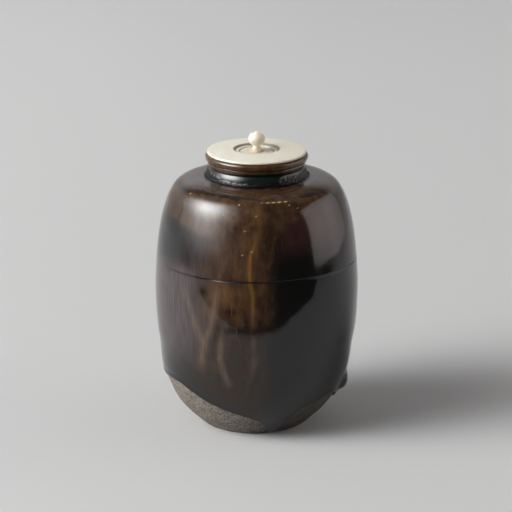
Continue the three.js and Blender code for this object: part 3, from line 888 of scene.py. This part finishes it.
def noise(tree, vector, scale, detail=2.0, roughness=0.5):
    """Cloudy noise between 0 and 1 with so many features to the metre."""
    inputs = {"Vector": vector, "Scale": scale, "Detail": detail, "Roughness": roughness}
    return add(tree, "TexNoise", inputs).outputs["Fac"]


def kept(tree, name):
    """A number that the points of the piece keep, or 0 where the piece doesn't have it."""
    return add(tree, "Attribute", attribute_name=name, attribute_type="GEOMETRY").outputs["Fac"]


# %% Helpers for node groups
def new_group(name, inputs, outputs):
    """An empty node group with its sockets, and the nodes inside that stand for them."""
    group = bpy.data.node_groups.new(name, "ShaderNodeTree")
    kinds = {float: "NodeSocketFloat", tuple: "NodeSocketColor", None: "NodeSocketVector"}
    for socket, value in inputs.items():
        kind = kinds[type(value) if value is not None else None]
        made = group.interface.new_socket(socket, in_out="INPUT", socket_type=kind)
        if value is not None:
            made.default_value = value
    for socket, value in outputs.items():
        group.interface.new_socket(socket, in_out="OUTPUT", socket_type=kinds[type(value)])
    return group, group.nodes.new("NodeGroupInput").outputs, group.nodes.new("NodeGroupOutput")


def use(tree, group, inputs):
    """Places a group in a material and returns its outputs."""
    node = tree.nodes.new("ShaderNodeGroup")
    node.node_tree = group
    for name, value in inputs.items():
        if isinstance(value, bpy.types.NodeSocket):
            tree.links.new(value, node.inputs[name])
        else:
            node.inputs[name].default_value = value
    return node.outputs


# %% [markdown]
# ## Effects that several finishes share
#
# Four effects turn up again and again here: a tone that drifts in clouds, specks of another colour,
# the rings that a lathe or wheel leaves, and the uneven sheen of a thing that hands have held. Each
# is a node group with named inputs, built once. They could be copied into each material, but then one
# change would have to be made five times.

# %% Cloudy tone
cloudy_tone, ins, outs = new_group(
    "cloudy_tone",
    {
        "Vector": None, "Scale": 100.0, "Contrast": 0.3,
        "Tone A": (0.5, 0.5, 0.5, 1), "Tone B": (0.4, 0.4, 0.4, 1),
    },
    {"Colour": (0, 0, 0, 1), "Mask": 0.0},
)
clouds = noise(cloudy_tone, ins["Vector"], ins["Scale"], detail=4.0, roughness=0.55)
low = calc(cloudy_tone, "SUBTRACT", 0.5, ins["Contrast"])
high = calc(cloudy_tone, "ADD", 0.5, ins["Contrast"])
drift = spread(cloudy_tone, clouds, low, high)
cloudy_tone.links.new(mix(cloudy_tone, drift, ins["Tone A"], ins["Tone B"]), outs.inputs["Colour"])
cloudy_tone.links.new(drift, outs.inputs["Mask"])

# %% Scattered specks
scattered_specks, ins, outs = new_group(
    "scattered_specks",
    {"Vector": None, "Scale": 1000.0, "Size": 0.25, "Share": 0.3},
    {"Mask": 0.0},
)
cells = add(scattered_specks, "TexVoronoi", {"Vector": ins["Vector"], "Scale": ins["Scale"]})
dot = calc(scattered_specks, "LESS_THAN", cells.outputs["Distance"], ins["Size"])
pick = add(scattered_specks, "SeparateColor", {"Color": cells.outputs["Color"]}).outputs["Red"]
chosen = calc(scattered_specks, "LESS_THAN", pick, ins["Share"])
scattered_specks.links.new(calc(scattered_specks, "MULTIPLY", dot, chosen), outs.inputs["Mask"])

# %% Turning marks
turning_marks, ins, outs = new_group(
    "turning_marks",
    {"Vector": None, "Across": 1.0, "Up": 0.0, "Spacing": 0.0005, "Wander": 0.2},
    {"Height": 0.0},
)
split = add(turning_marks, "SeparateXYZ", {"Vector": ins["Vector"]})
x2 = calc(turning_marks, "MULTIPLY", split.outputs["X"], split.outputs["X"])
y2 = calc(turning_marks, "MULTIPLY", split.outputs["Y"], split.outputs["Y"])
out_from_axis = calc(turning_marks, "SQRT", calc(turning_marks, "ADD", x2, y2))
along = calc(
    turning_marks, "ADD",
    calc(turning_marks, "MULTIPLY", out_from_axis, ins["Across"]),
    calc(turning_marks, "MULTIPLY", split.outputs["Z"], ins["Up"]))
counted = calc(turning_marks, "DIVIDE", along, ins["Spacing"])
wandering = noise(turning_marks, ins["Vector"], scale=180.0, detail=1.0)
counted = calc(turning_marks, "ADD", counted, calc(turning_marks, "MULTIPLY", wandering, ins["Wander"]))
line_noise = add(
    turning_marks, "TexNoise", {"W": counted, "Scale": 1.0, "Detail": 2.0}, noise_dimensions="1D")
turning_marks.links.new(line_noise.outputs["Fac"], outs.inputs["Height"])

# %% Handled sheen
handled_sheen, ins, outs = new_group(
    "handled_sheen",
    {"Vector": None, "Scale": 60.0, "Polished": 0.2, "Dull": 0.4},
    {"Roughness": 0.0},
)
smudge = noise(handled_sheen, ins["Vector"], ins["Scale"], detail=3.0, roughness=0.6)
fine_scale = calc(handled_sheen, "MULTIPLY", ins["Scale"], 9.0)
fine = noise(handled_sheen, ins["Vector"], fine_scale, detail=2.0)
amount = spread(
    handled_sheen,
    calc(handled_sheen, "ADD", smudge, calc(handled_sheen, "MULTIPLY", fine, 0.25)),
    0.4, 0.85)
difference = calc(handled_sheen, "SUBTRACT", ins["Dull"], ins["Polished"])
dulled = calc(handled_sheen, "MULTIPLY", difference, amount)
handled_sheen.links.new(calc(handled_sheen, "ADD", ins["Polished"], dulled), outs.inputs["Roughness"])

# %% A material with one main shader
def new_finish(piece, name):
    """A material on a piece, with its node tree, its main shader and the piece's own coordinates."""
    material = bpy.data.materials.new(name)
    material.use_nodes = True
    piece.data.materials.append(material)
    tree = material.node_tree
    shader = tree.nodes["Principled BSDF"]
    return tree, shader, add(tree, "TexCoord").outputs["Object"]


def bumped(tree, shader, height, distance, strength=1.0):
    """Lets a height tilt the surface's normal, where 1 stands as high as distance."""
    node = add(tree, "Bump", {"Height": height, "Distance": distance, "Strength": strength})
    tree.links.new(node.outputs[0], shader.inputs["Normal"])


# %% [markdown]
# ## Iron glaze
#
# The glaze is one glassy layer, so the shader's own reflection is its gloss, and the colour below is
# what the iron and the crystals give. Fine hairs run down it, drawn out by gravity: they are noise
# stretched along the height. The placed runs, patches and veils come from the numbers that the coat
# keeps, with noise eating into their edges. The crust and the dark blotches are full of iron and of
# small pits that swallow light, so they are given partly as metal, which reflects only its own dark
# colour. A few dark patches low in front are a painted dark reflection of the table's front edge, and
# take the same metal. The pale and golden specks, and the pale specks on the crust, are painted glints.

# %% Colours of the glaze
GLAZE_BLACK = (0.005, 0.0045, 0.004, 1)
GLAZE_BROWN = (0.082, 0.042, 0.019, 1)
GLAZE_UMBER = (0.044, 0.0215, 0.0115, 1)
GLAZE_RUST = (0.043, 0.017, 0.014, 1)
GLAZE_BORDER = (0.022, 0.007, 0.006, 1)
GLAZE_BLOOM = (0.076, 0.061, 0.062, 1)
GLAZE_TAN = (0.15, 0.095, 0.066, 1)
GLAZE_AMBER = (0.26, 0.115, 0.024, 1)
GLAZE_CRUST = (0.017, 0.0185, 0.017, 1)
GLAZE_TEAL = (0.009, 0.0118, 0.0115, 1)
GLAZE_PALE = (0.5, 0.4, 0.27, 1)
GLAZE_GLINT_GOLD = (0.6, 0.4, 0.13, 1)
GLAZE_IOR = 1.52
GLAZE_RELIEF = 0.012 * MM

# %% Hairs, flow and grain in the glaze
tree, shader, spot = new_finish(glaze_coat, "iron_glaze")
hairs = noise(tree, stretched(tree, spot, (1, 1, 0.07)), scale=1500.0, detail=3.0, roughness=0.55)
flow = noise(tree, stretched(tree, spot, (1, 1, 0.16)), scale=330.0, detail=4.0, roughness=0.6)
grain = noise(tree, spot, scale=1100.0, detail=4.0, roughness=0.6)
ragged = calc(tree, "ADD", calc(tree, "MULTIPLY", hairs, 0.6), calc(tree, "MULTIPLY", flow, 0.4))


def laid(colour, name, texture, low, high, least, over):
    """A colour over another, where the coat keeps a number. A texture breaks it up: it covers by the
    share least where the texture is under low, and fully where the texture is over high."""
    broken = spread(tree, texture, low, high, least, 1.0)
    return mix(tree, calc(tree, "MULTIPLY", kept(tree, name), broken, clamp=True), colour, over)


# %% The colour of the coat, layer over layer
warm = use(tree, cloudy_tone, {
    "Vector": stretched(tree, spot, (1, 1, 0.55)), "Scale": 420.0, "Contrast": 0.14,
    "Tone A": GLAZE_BROWN, "Tone B": GLAZE_UMBER})["Colour"]
colour = laid(GLAZE_BLACK, "brown", flow, 0.26, 0.6, 0.45, warm)
colour = laid(colour, "bloom", ragged, 0.38, 0.6, 0.65, GLAZE_BLOOM)
colour = laid(colour, "rust", flow, 0.3, 0.6, 0.7, GLAZE_RUST)
colour = laid(colour, "tan", ragged, 0.34, 0.62, 0.45, GLAZE_TAN)
colour = laid(colour, "amber", ragged, 0.34, 0.6, 0.5, GLAZE_AMBER)
colour = mix(tree, kept(tree, "teal"), colour, GLAZE_TEAL)
colour = laid(colour, "border", flow, 0.3, 0.6, 0.6, GLAZE_BORDER)
# Blotches, together with the painted dark reflection low in front.
blotches_and_edge_reflection = calc(tree, "MULTIPLY", kept(tree, "dark_and_edge_reflection"), spread(tree, ragged, 0.4, 0.54))
colour = mix(tree, blotches_and_edge_reflection, colour, GLAZE_BLACK)
colour = mix(tree, kept(tree, "ring"), colour, GLAZE_BLACK)
colour = mix(tree, kept(tree, "crust"), colour, GLAZE_CRUST)
colour = mix(tree, calc(tree, "MULTIPLY", kept(tree, "line"), 0.9), colour, GLAZE_BLACK)
tiny = use(tree, scattered_specks, {"Vector": spot, "Scale": 700.0, "Size": 0.12, "Share": 0.03})["Mask"]
tiny = calc(tree, "MULTIPLY", tiny, calc(tree, "MULTIPLY", kept(tree, "brown"), 0.25))
colour = mix(tree, tiny, colour, GLAZE_PALE)
# Pale specks on the crust are painted glints on its lumps.
crust_glints = use(tree, scattered_specks, {"Vector": spot, "Scale": 2100.0, "Size": 0.3, "Share": 0.12})["Mask"]
crust_glints = calc(tree, "MULTIPLY", crust_glints, calc(tree, "MULTIPLY", kept(tree, "crust"), 0.35))
colour = mix(tree, crust_glints, colour, GLAZE_PALE)
# The pale and golden specks are painted glints.
glint_colour = mix(tree, kept(tree, "golden_glints"), GLAZE_PALE, GLAZE_GLINT_GOLD)
colour = mix(tree, spread(tree, kept(tree, "glint_specks"), 0.15, 0.9), colour, glint_colour)
tree.links.new(colour, shader.inputs["Base Color"])

# %% The gloss and the relief of the coat
sheen = use(
    tree, handled_sheen, {"Vector": spot, "Scale": 55.0, "Polished": 0.05, "Dull": 0.13})["Roughness"]
hair_sheen = calc(tree, "MULTIPLY", spread(tree, hairs, 0.35, 0.7, 0.0, 0.05), kept(tree, "hairy"))
matt = calc(tree, "MULTIPLY", kept(tree, "crust"), 0.2)
roughness = calc(tree, "ADD", calc(tree, "ADD", sheen, hair_sheen), matt, clamp=True)
tree.links.new(roughness, shader.inputs["Roughness"])
crust_metal = calc(tree, "MULTIPLY", kept(tree, "crust"), 0.85)
blotch_and_edge_metal = calc(tree, "MULTIPLY", blotches_and_edge_reflection, 0.6)
tree.links.new(calc(tree, "ADD", crust_metal, blotch_and_edge_metal, clamp=True), shader.inputs["Metallic"])
orange_peel = noise(tree, spot, scale=240.0, detail=1.0)
crumbs = calc(tree, "MULTIPLY", kept(tree, "crust"), calc(tree, "MULTIPLY", grain, 20.0))
combed = calc(tree, "MULTIPLY", calc(tree, "MULTIPLY", hairs, 0.5), kept(tree, "hairy"))
relief = calc(tree, "ADD", combed, calc(tree, "MULTIPLY", orange_peel, 1.6))
relief = calc(tree, "ADD", relief, crumbs)
bumped(tree, shader, relief, GLAZE_RELIEF)
shader.inputs["IOR"].default_value = GLAZE_IOR

# %% [markdown]
# ## Bare clay
#
# The clay is coarse: pale and dark grains of sand sit in a grey-buff ground, drawn out sideways where
# the tool passed. It scatters light, so it is rough all over, and its grain is also its relief.

# %% The finish of the clay
CLAY_GROUND = (0.223, 0.192, 0.16, 1)
CLAY_SHADE = (0.136, 0.115, 0.096, 1)
CLAY_PALE = (0.45, 0.4, 0.34, 1)
CLAY_IRON = (0.045, 0.035, 0.028, 1)
CLAY_SHADOW_SIDE = (0.022, 0.019, 0.015, 1)
CLAY_RELIEF = 0.14 * MM

tree, shader, spot = new_finish(clay_jar, "bare_clay")
dragged = stretched(tree, spot, (0.6, 0.6, 1))
colour = use(tree, cloudy_tone, {
    "Vector": dragged, "Scale": 420.0, "Contrast": 0.2,
    "Tone A": CLAY_SHADE, "Tone B": CLAY_GROUND})["Colour"]
grain = noise(tree, dragged, scale=2600.0, detail=3.0, roughness=0.7)
colour = mix(tree, spread(tree, grain, 0.53, 0.68, 0.0, 0.85), colour, CLAY_PALE)
dark_grain = noise(tree, dragged, scale=2100.0, detail=3.0, roughness=0.65)
colour = mix(tree, spread(tree, dark_grain, 0.53, 0.61, 0.0, 0.95), colour, CLAY_IRON)
sand = use(
    tree, scattered_specks, {"Vector": dragged, "Scale": 1300.0, "Size": 0.32, "Share": 0.28})["Mask"]
colour = mix(tree, calc(tree, "MULTIPLY", sand, 0.85), colour, CLAY_IRON)
# Painted shade on the clay's side away from the left light, and a slight darkening at its left.
clay_shade_mask = calc(tree, "MULTIPLY", kept(tree, "clay_shade"), spread(tree, dark_grain, 0.25, 0.6, 0.8, 1.0))
colour = mix(tree, calc(tree, "MULTIPLY", clay_shade_mask, 0.91), colour, CLAY_SHADOW_SIDE)
tree.links.new(colour, shader.inputs["Base Color"])
tree.links.new(
    use(tree, handled_sheen, {"Vector": spot, "Scale": 300.0, "Polished": 0.72, "Dull": 0.92})["Roughness"],
    shader.inputs["Roughness"])
rings = use(tree, turning_marks, {
    "Vector": spot, "Across": 0.7, "Up": 1.0, "Spacing": 0.55 * MM, "Wander": 1.5})["Height"]
relief = calc(tree, "ADD", grain, calc(tree, "MULTIPLY", rings, 0.7))
relief = calc(tree, "SUBTRACT", relief, calc(tree, "MULTIPLY", sand, 0.5))
bumped(tree, shader, relief, CLAY_RELIEF)

# %% [markdown]
# ## The lid's pale finishes
#
# The plate is cool and even, with faint rings from the lathe and tea-coloured soil on the floor of its
# well. Its well's wall and step have painted shade with some grime, its far rim has painted shade, and
# it is a little darker towards +X. The knob is warmer, and polished by fingertips. Both use the same
# groups with their own values.

# %% The finish of the plate and the knob
PLATE_TONE = (0.755, 0.72, 0.62, 1)
PLATE_DRIFT = (0.69, 0.65, 0.54, 1)
PLATE_SOIL_AND_SHADE = (0.47, 0.4, 0.3, 1)
KNOB_TONE = (0.82, 0.76, 0.635, 1)
KNOB_DRIFT = (0.76, 0.68, 0.53, 1)
KNOB_SOIL = (0.45, 0.36, 0.25, 1)
IVORY_SHADE_AND_GRIME = (0.13, 0.098, 0.066, 1)
IVORY_GLOW_DEPTH = 1.2 * MM
IVORY_RELIEF = 0.006 * MM


def ivory_finish(piece, name, tone, drift, soil_and_shade_colour, polished, dull, across, up):
    """Two cloudy tones, soil and painted shade where the piece keeps them, faint turning marks, and a sheen
    that hands have left.
    """
    tree, shader, spot = new_finish(piece, name)
    colour = use(tree, cloudy_tone, {
        "Vector": stretched(tree, spot, (1, 0.35, 1)), "Scale": 260.0, "Contrast": 0.3,
        "Tone A": tone, "Tone B": drift})["Colour"]
    pores = use(
        tree, scattered_specks, {"Vector": spot, "Scale": 900.0, "Size": 0.12, "Share": 0.06})["Mask"]
    colour = mix(tree, calc(tree, "MULTIPLY", pores, 0.5), colour, soil_and_shade_colour)
    patchy = spread(tree, noise(tree, spot, scale=700.0, detail=3.0), 0.3, 0.6, 0.7, 1.0)
    # Soil, with painted shade at the plate's far rim and a darker tone towards +X.
    colour = mix(tree, calc(tree, "MULTIPLY", kept(tree, "soil_and_shade"), patchy), colour, soil_and_shade_colour)
    # Painted shade, with some grime, on the well's wall and step.
    colour = mix(tree, calc(tree, "MULTIPLY", kept(tree, "shade_and_grime"), 0.86), colour, IVORY_SHADE_AND_GRIME)
    tree.links.new(colour, shader.inputs["Base Color"])
    shader.inputs["Subsurface Weight"].default_value = 0.3
    shader.inputs["Subsurface Radius"].default_value = (1, 0.8, 0.5)
    shader.inputs["Subsurface Scale"].default_value = IVORY_GLOW_DEPTH
    sheen = use(tree, handled_sheen, {"Vector": spot, "Scale": 150.0, "Polished": polished, "Dull": dull})
    tree.links.new(sheen["Roughness"], shader.inputs["Roughness"])
    rings = use(tree, turning_marks, {
        "Vector": spot, "Across": across, "Up": up, "Spacing": 0.3 * MM, "Wander": 0.3})["Height"]
    bumped(tree, shader, rings, IVORY_RELIEF)


ivory_finish(
    lid_plate, "ivory_plate", PLATE_TONE, PLATE_DRIFT, PLATE_SOIL_AND_SHADE,
    polished=0.3, dull=0.45, across=1.0, up=0.3)
ivory_finish(
    lid_knob, "ivory_knob", KNOB_TONE, KNOB_DRIFT, KNOB_SOIL,
    polished=0.27, dull=0.4, across=0.6, up=1.0)

# %% [markdown]
# ## Gold leaf
#
# Leaf is metal, but where it cracked over the folds the brown paper shows. So one mask, the edges of
# a cell pattern, switches colour and metal together.

# %% The finish of the lining
LEAF_BRIGHT = (0.9, 0.62, 0.23, 1)
LEAF_DEEP = (0.8, 0.5, 0.16, 1)
LEAF_PAPER = (0.2, 0.11, 0.06, 1)
LEAF_RELIEF = 0.03 * MM

tree, shader, spot = new_finish(leaf_lining, "gold_leaf")
cracks = add(tree, "TexVoronoi", {"Vector": spot, "Scale": 520.0}, feature="DISTANCE_TO_EDGE")
worn = noise(tree, spot, scale=260.0, detail=3.0)
frayed = calc(tree, "ADD", cracks.outputs["Distance"], calc(tree, "MULTIPLY", worn, 0.12))
whole = spread(tree, frayed, 0.05, 0.09)
leaf_tone = use(tree, cloudy_tone, {
    "Vector": spot, "Scale": 190.0, "Contrast": 0.25, "Tone A": LEAF_BRIGHT, "Tone B": LEAF_DEEP})
tree.links.new(mix(tree, whole, LEAF_PAPER, leaf_tone["Colour"]), shader.inputs["Base Color"])
tree.links.new(whole, shader.inputs["Metallic"])
tree.links.new(
    use(tree, handled_sheen, {"Vector": spot, "Scale": 200.0, "Polished": 0.24, "Dull": 0.42})["Roughness"],
    shader.inputs["Roughness"])
bumped(tree, shader, calc(tree, "ADD", whole, calc(tree, "MULTIPLY", worn, 0.6)), LEAF_RELIEF)

# %% [markdown]
# ## The studio
#
# The caddy stood on a pale table before a pale backdrop, in a room that was dark in front. One large
# soft light stood at the left, brightest in its middle and fading outwards, and a pale panel at the
# right. Glaze is a mirror, so these have to stand where their reflections show. The left light is
# several lamps: one lights the caddy and hides from mirrors, and the others show in the glaze alone,
# because the cloth's wide glow is easier to shape that way. They stand 2 cm apart, since a mirror
# would see only one of two lamps in the same plane. The table is a real rectangle, whose front edge
# shows in the glaze. A frame of floor round it, which only the camera sees, fills the other views.

# %% A flat sheet, and how it opens to a view from below
def flat_sheet(name, xs, ys, missing=()):
    """A level sheet of rectangles between the given lines, with some left out."""
    points = [(x, y, 0) for y in ys for x in xs]
    across = len(xs)
    corners = [
        row * across + cell
        for row in range(len(ys) - 1)
        for cell in range(across - 1)
        if (cell, row) not in missing
    ]
    faces = [(corner, corner + 1, corner + across + 1, corner + across) for corner in corners]
    mesh = bpy.data.meshes.new(name)
    mesh.from_pydata(points, [], faces)
    sheet = bpy.data.objects.new(name, mesh)
    bpy.context.scene.collection.objects.link(sheet)
    return sheet


def see_through_from_below(tree, shader):
    """Opens a sheet to a view from under it, so that the base and the lid's lining can be looked at."""
    tree.links.new(
        calc(tree, "SUBTRACT", 1.0, add(tree, "NewGeometry").outputs["Backfacing"]), shader.inputs["Alpha"])


# %% The table, and the floor that only the camera sees
TABLE_LOW = (-0.34, -0.1165)
TABLE_HIGH = (0.30, 0.9)
FLOOR_REACH = 6.0
FLOOR_COLOUR = (0.525, 0.525, 0.525, 1)
FLOOR_FAR = (0.592, 0.592, 0.592, 1)
PALE = (0.55, 0.55, 0.55, 1)

table = flat_sheet("table", [TABLE_LOW[0], TABLE_HIGH[0]], [TABLE_LOW[1], TABLE_HIGH[1]])
surround = flat_sheet(
    "surround", [-FLOOR_REACH, TABLE_LOW[0], TABLE_HIGH[0], FLOOR_REACH],
    [-FLOOR_REACH, TABLE_LOW[1], TABLE_HIGH[1], FLOOR_REACH], missing={(1, 1)})
for ray in ("diffuse", "glossy", "transmission", "volume_scatter", "shadow"):
    setattr(surround, "visible_" + ray, False)

# %% The finishes of the table and the floor
tree, shader, spot = new_finish(table, "table_paper")
away = add(tree, "SeparateXYZ", {"Vector": spot}).outputs
# Painted light: the paper is lighter far back and a little lighter at the left, towards the left light.
paper = mix(tree, spread(tree, away["Y"], 0.0, 0.6), FLOOR_COLOUR, FLOOR_FAR)
leftward = spread(tree, away["X"], -0.11, 0.05, 1.05, 1.0)
tree.links.new(mix(tree, 1.0, paper, leftward, "MULTIPLY"), shader.inputs["Base Color"])
shader.inputs["Roughness"].default_value = 0.9
shader.inputs["Specular IOR Level"].default_value = 0
see_through_from_below(tree, shader)

tree, shader, spot = new_finish(surround, "surround_paper")
shader.inputs["Base Color"].default_value = (0, 0, 0, 1)
shader.inputs["Specular IOR Level"].default_value = 0
shader.inputs["Emission Color"].default_value = PALE
shader.inputs["Emission Strength"].default_value = 1
see_through_from_below(tree, shader)

# %% The soft lights
LIT_POINT = (0, 0, 0.045)
WATTS_PER_RADIANCE = 4


def soft_light(name, azimuth, elevation, distance, width, height, radiance, fade=None):
    """A rectangle of light that faces the caddy from an azimuth and a height angle. Its power is its
    radiance times its area times four, which is how Blender counts the watts of an area light. A fade
    is the brightest place across, and a width across and up, as shares of the rectangle: from there the
    light falls off as a bell, which a lamp close behind a sheet of diffusing cloth gives."""
    angle, rise = math.radians(azimuth), math.radians(elevation)
    away = (math.sin(angle) * math.cos(rise), -math.cos(angle) * math.cos(rise), math.sin(rise))
    data = bpy.data.lights.new(name, "AREA")
    data.shape = "RECTANGLE"
    data.size, data.size_y = width, height
    data.energy = WATTS_PER_RADIANCE * radiance * width * height
    if fade:
        data.use_nodes = True
        tree = data.node_tree
        spot = add(tree, "SeparateXYZ", {"Vector": add(tree, "NewGeometry").outputs["Parametric"]}).outputs
        squares = []
        for axis, middle, wide in (("X", fade[0], fade[1]), ("Y", 0.5, fade[2])):
            off = calc(tree, "DIVIDE", calc(tree, "SUBTRACT", spot[axis], middle), wide)
            squares.append(calc(tree, "MULTIPLY", off, off))
        power = calc(tree, "MULTIPLY", calc(tree, "ADD", *squares), -1.0)
        tree.links.new(calc(tree, "EXPONENT", power), tree.nodes["Emission"].inputs["Strength"])
    lamp = bpy.data.objects.new(name, data)
    lamp.location = [point + distance * part for point, part in zip(LIT_POINT, away)]
    lamp.rotation_euler = (math.pi / 2 - rise, 0, angle)
    lamp.visible_camera = False
    bpy.context.scene.collection.objects.link(lamp)
    print(name, "gives up to", round(data.energy), "watts")
    return lamp


# %% The left light: one lamp for the caddy, and three for its mirror image in the glaze
KEY_ANGLES = (-70.5, 32)
KEY_SIZE = (5.2, 3.7)
KEY_DISTANCE = 2.5
KEY_FADE = (0.5, 0.143, 0.19)
MIRROR_ANGLES = (-75, 34)
CORE_FADE = (0.5, 0.17, 0.19)
GLOW_FADE = (0.5, 0.3, 0.3)
SKIRT_ANGLES = (-66, 7)
SKIRT_SIZE = (4.8, 1.7)
SKIRT_FADE = (0.5, 0.25, 0.24)
APART = 0.02

key = soft_light("key", *KEY_ANGLES, KEY_DISTANCE, *KEY_SIZE, radiance=16, fade=KEY_FADE)
key.visible_glossy = False
core = soft_light(
    "key_core", *MIRROR_ANGLES, KEY_DISTANCE + APART, *KEY_SIZE, radiance=10.8, fade=CORE_FADE)
glow = soft_light(
    "key_glow", *MIRROR_ANGLES, KEY_DISTANCE + 2 * APART, *KEY_SIZE, radiance=3.2, fade=GLOW_FADE)
skirt = soft_light(
    "key_skirt", *SKIRT_ANGLES, KEY_DISTANCE - APART, *SKIRT_SIZE, radiance=1.25, fade=SKIRT_FADE)
for lamp in (core, glow, skirt):
    lamp.visible_diffuse = False

# %% The panel at the right
PANEL_ANGLES = (97, 15.1)
PANEL_SIZE = (1.14, 0.79)
PANEL_DISTANCE = 0.95
PANEL_FADE = (0.24, 0.55, 0.8)
PANEL_COLOUR = (1, 0.92, 0.9)

panel = soft_light(
    "right_panel", *PANEL_ANGLES, PANEL_DISTANCE, *PANEL_SIZE, radiance=1.42, fade=PANEL_FADE)
panel.data.color = PANEL_COLOUR

# %% The room: pale behind, dark in front
ROOM_FRONT = (0.045, 0.045, 0.045, 1)
ROOM_FRONT_FILL = (0.15, 0.15, 0.15, 1)
ROOM_FILL = (0.33, 0.33, 0.33, 1)
ROOM_LEVELS = [
    (0, 0.58), (0.42, 0.58), (0.5, 0.42), (0.57, 0.45), (0.66, 0.62), (0.71, 0.6), (0.78, 0.14), (1, 0.2),
]

world = bpy.data.worlds.new("room")
bpy.context.scene.world = world
world.use_nodes = True
tree = world.node_tree
direction = add(tree, "SeparateXYZ", {"Vector": add(tree, "TexCoord").outputs["Generated"]}).outputs
behind = spread(tree, direction["Y"], -0.05, 0.3)
upward = calc(tree, "ADD", calc(tree, "MULTIPLY", direction["Z"], 0.5), 0.5)
by_height = add(tree, "ValToRGB", {"Fac": upward})
# A new ramp has one stop at each end, so only the stops between them are added.
stops = by_height.color_ramp.elements
for position, level in ROOM_LEVELS:
    stop = stops[-int(position)] if position in (0, 1) else stops.new(position)
    stop.color = (level, level, level, 1)
leftward = spread(tree, direction["X"], -0.6, 0.6, 1.25, 0.8)
backdrop = mix(tree, 1.0, by_height.outputs["Color"], leftward, "MULTIPLY")
ray = add(tree, "LightPath").outputs
mirrored = calc(tree, "ADD", ray["Is Glossy Ray"], ray["Is Transmission Ray"], clamp=True)
in_front = mix(tree, mirrored, ROOM_FRONT_FILL, ROOM_FRONT)
room = mix(tree, behind, in_front, mix(tree, mirrored, ROOM_FILL, backdrop))
background = tree.nodes["Background"]
tree.links.new(mix(tree, ray["Is Camera Ray"], room, PALE), background.inputs["Color"])
background.inputs["Strength"].default_value = 1
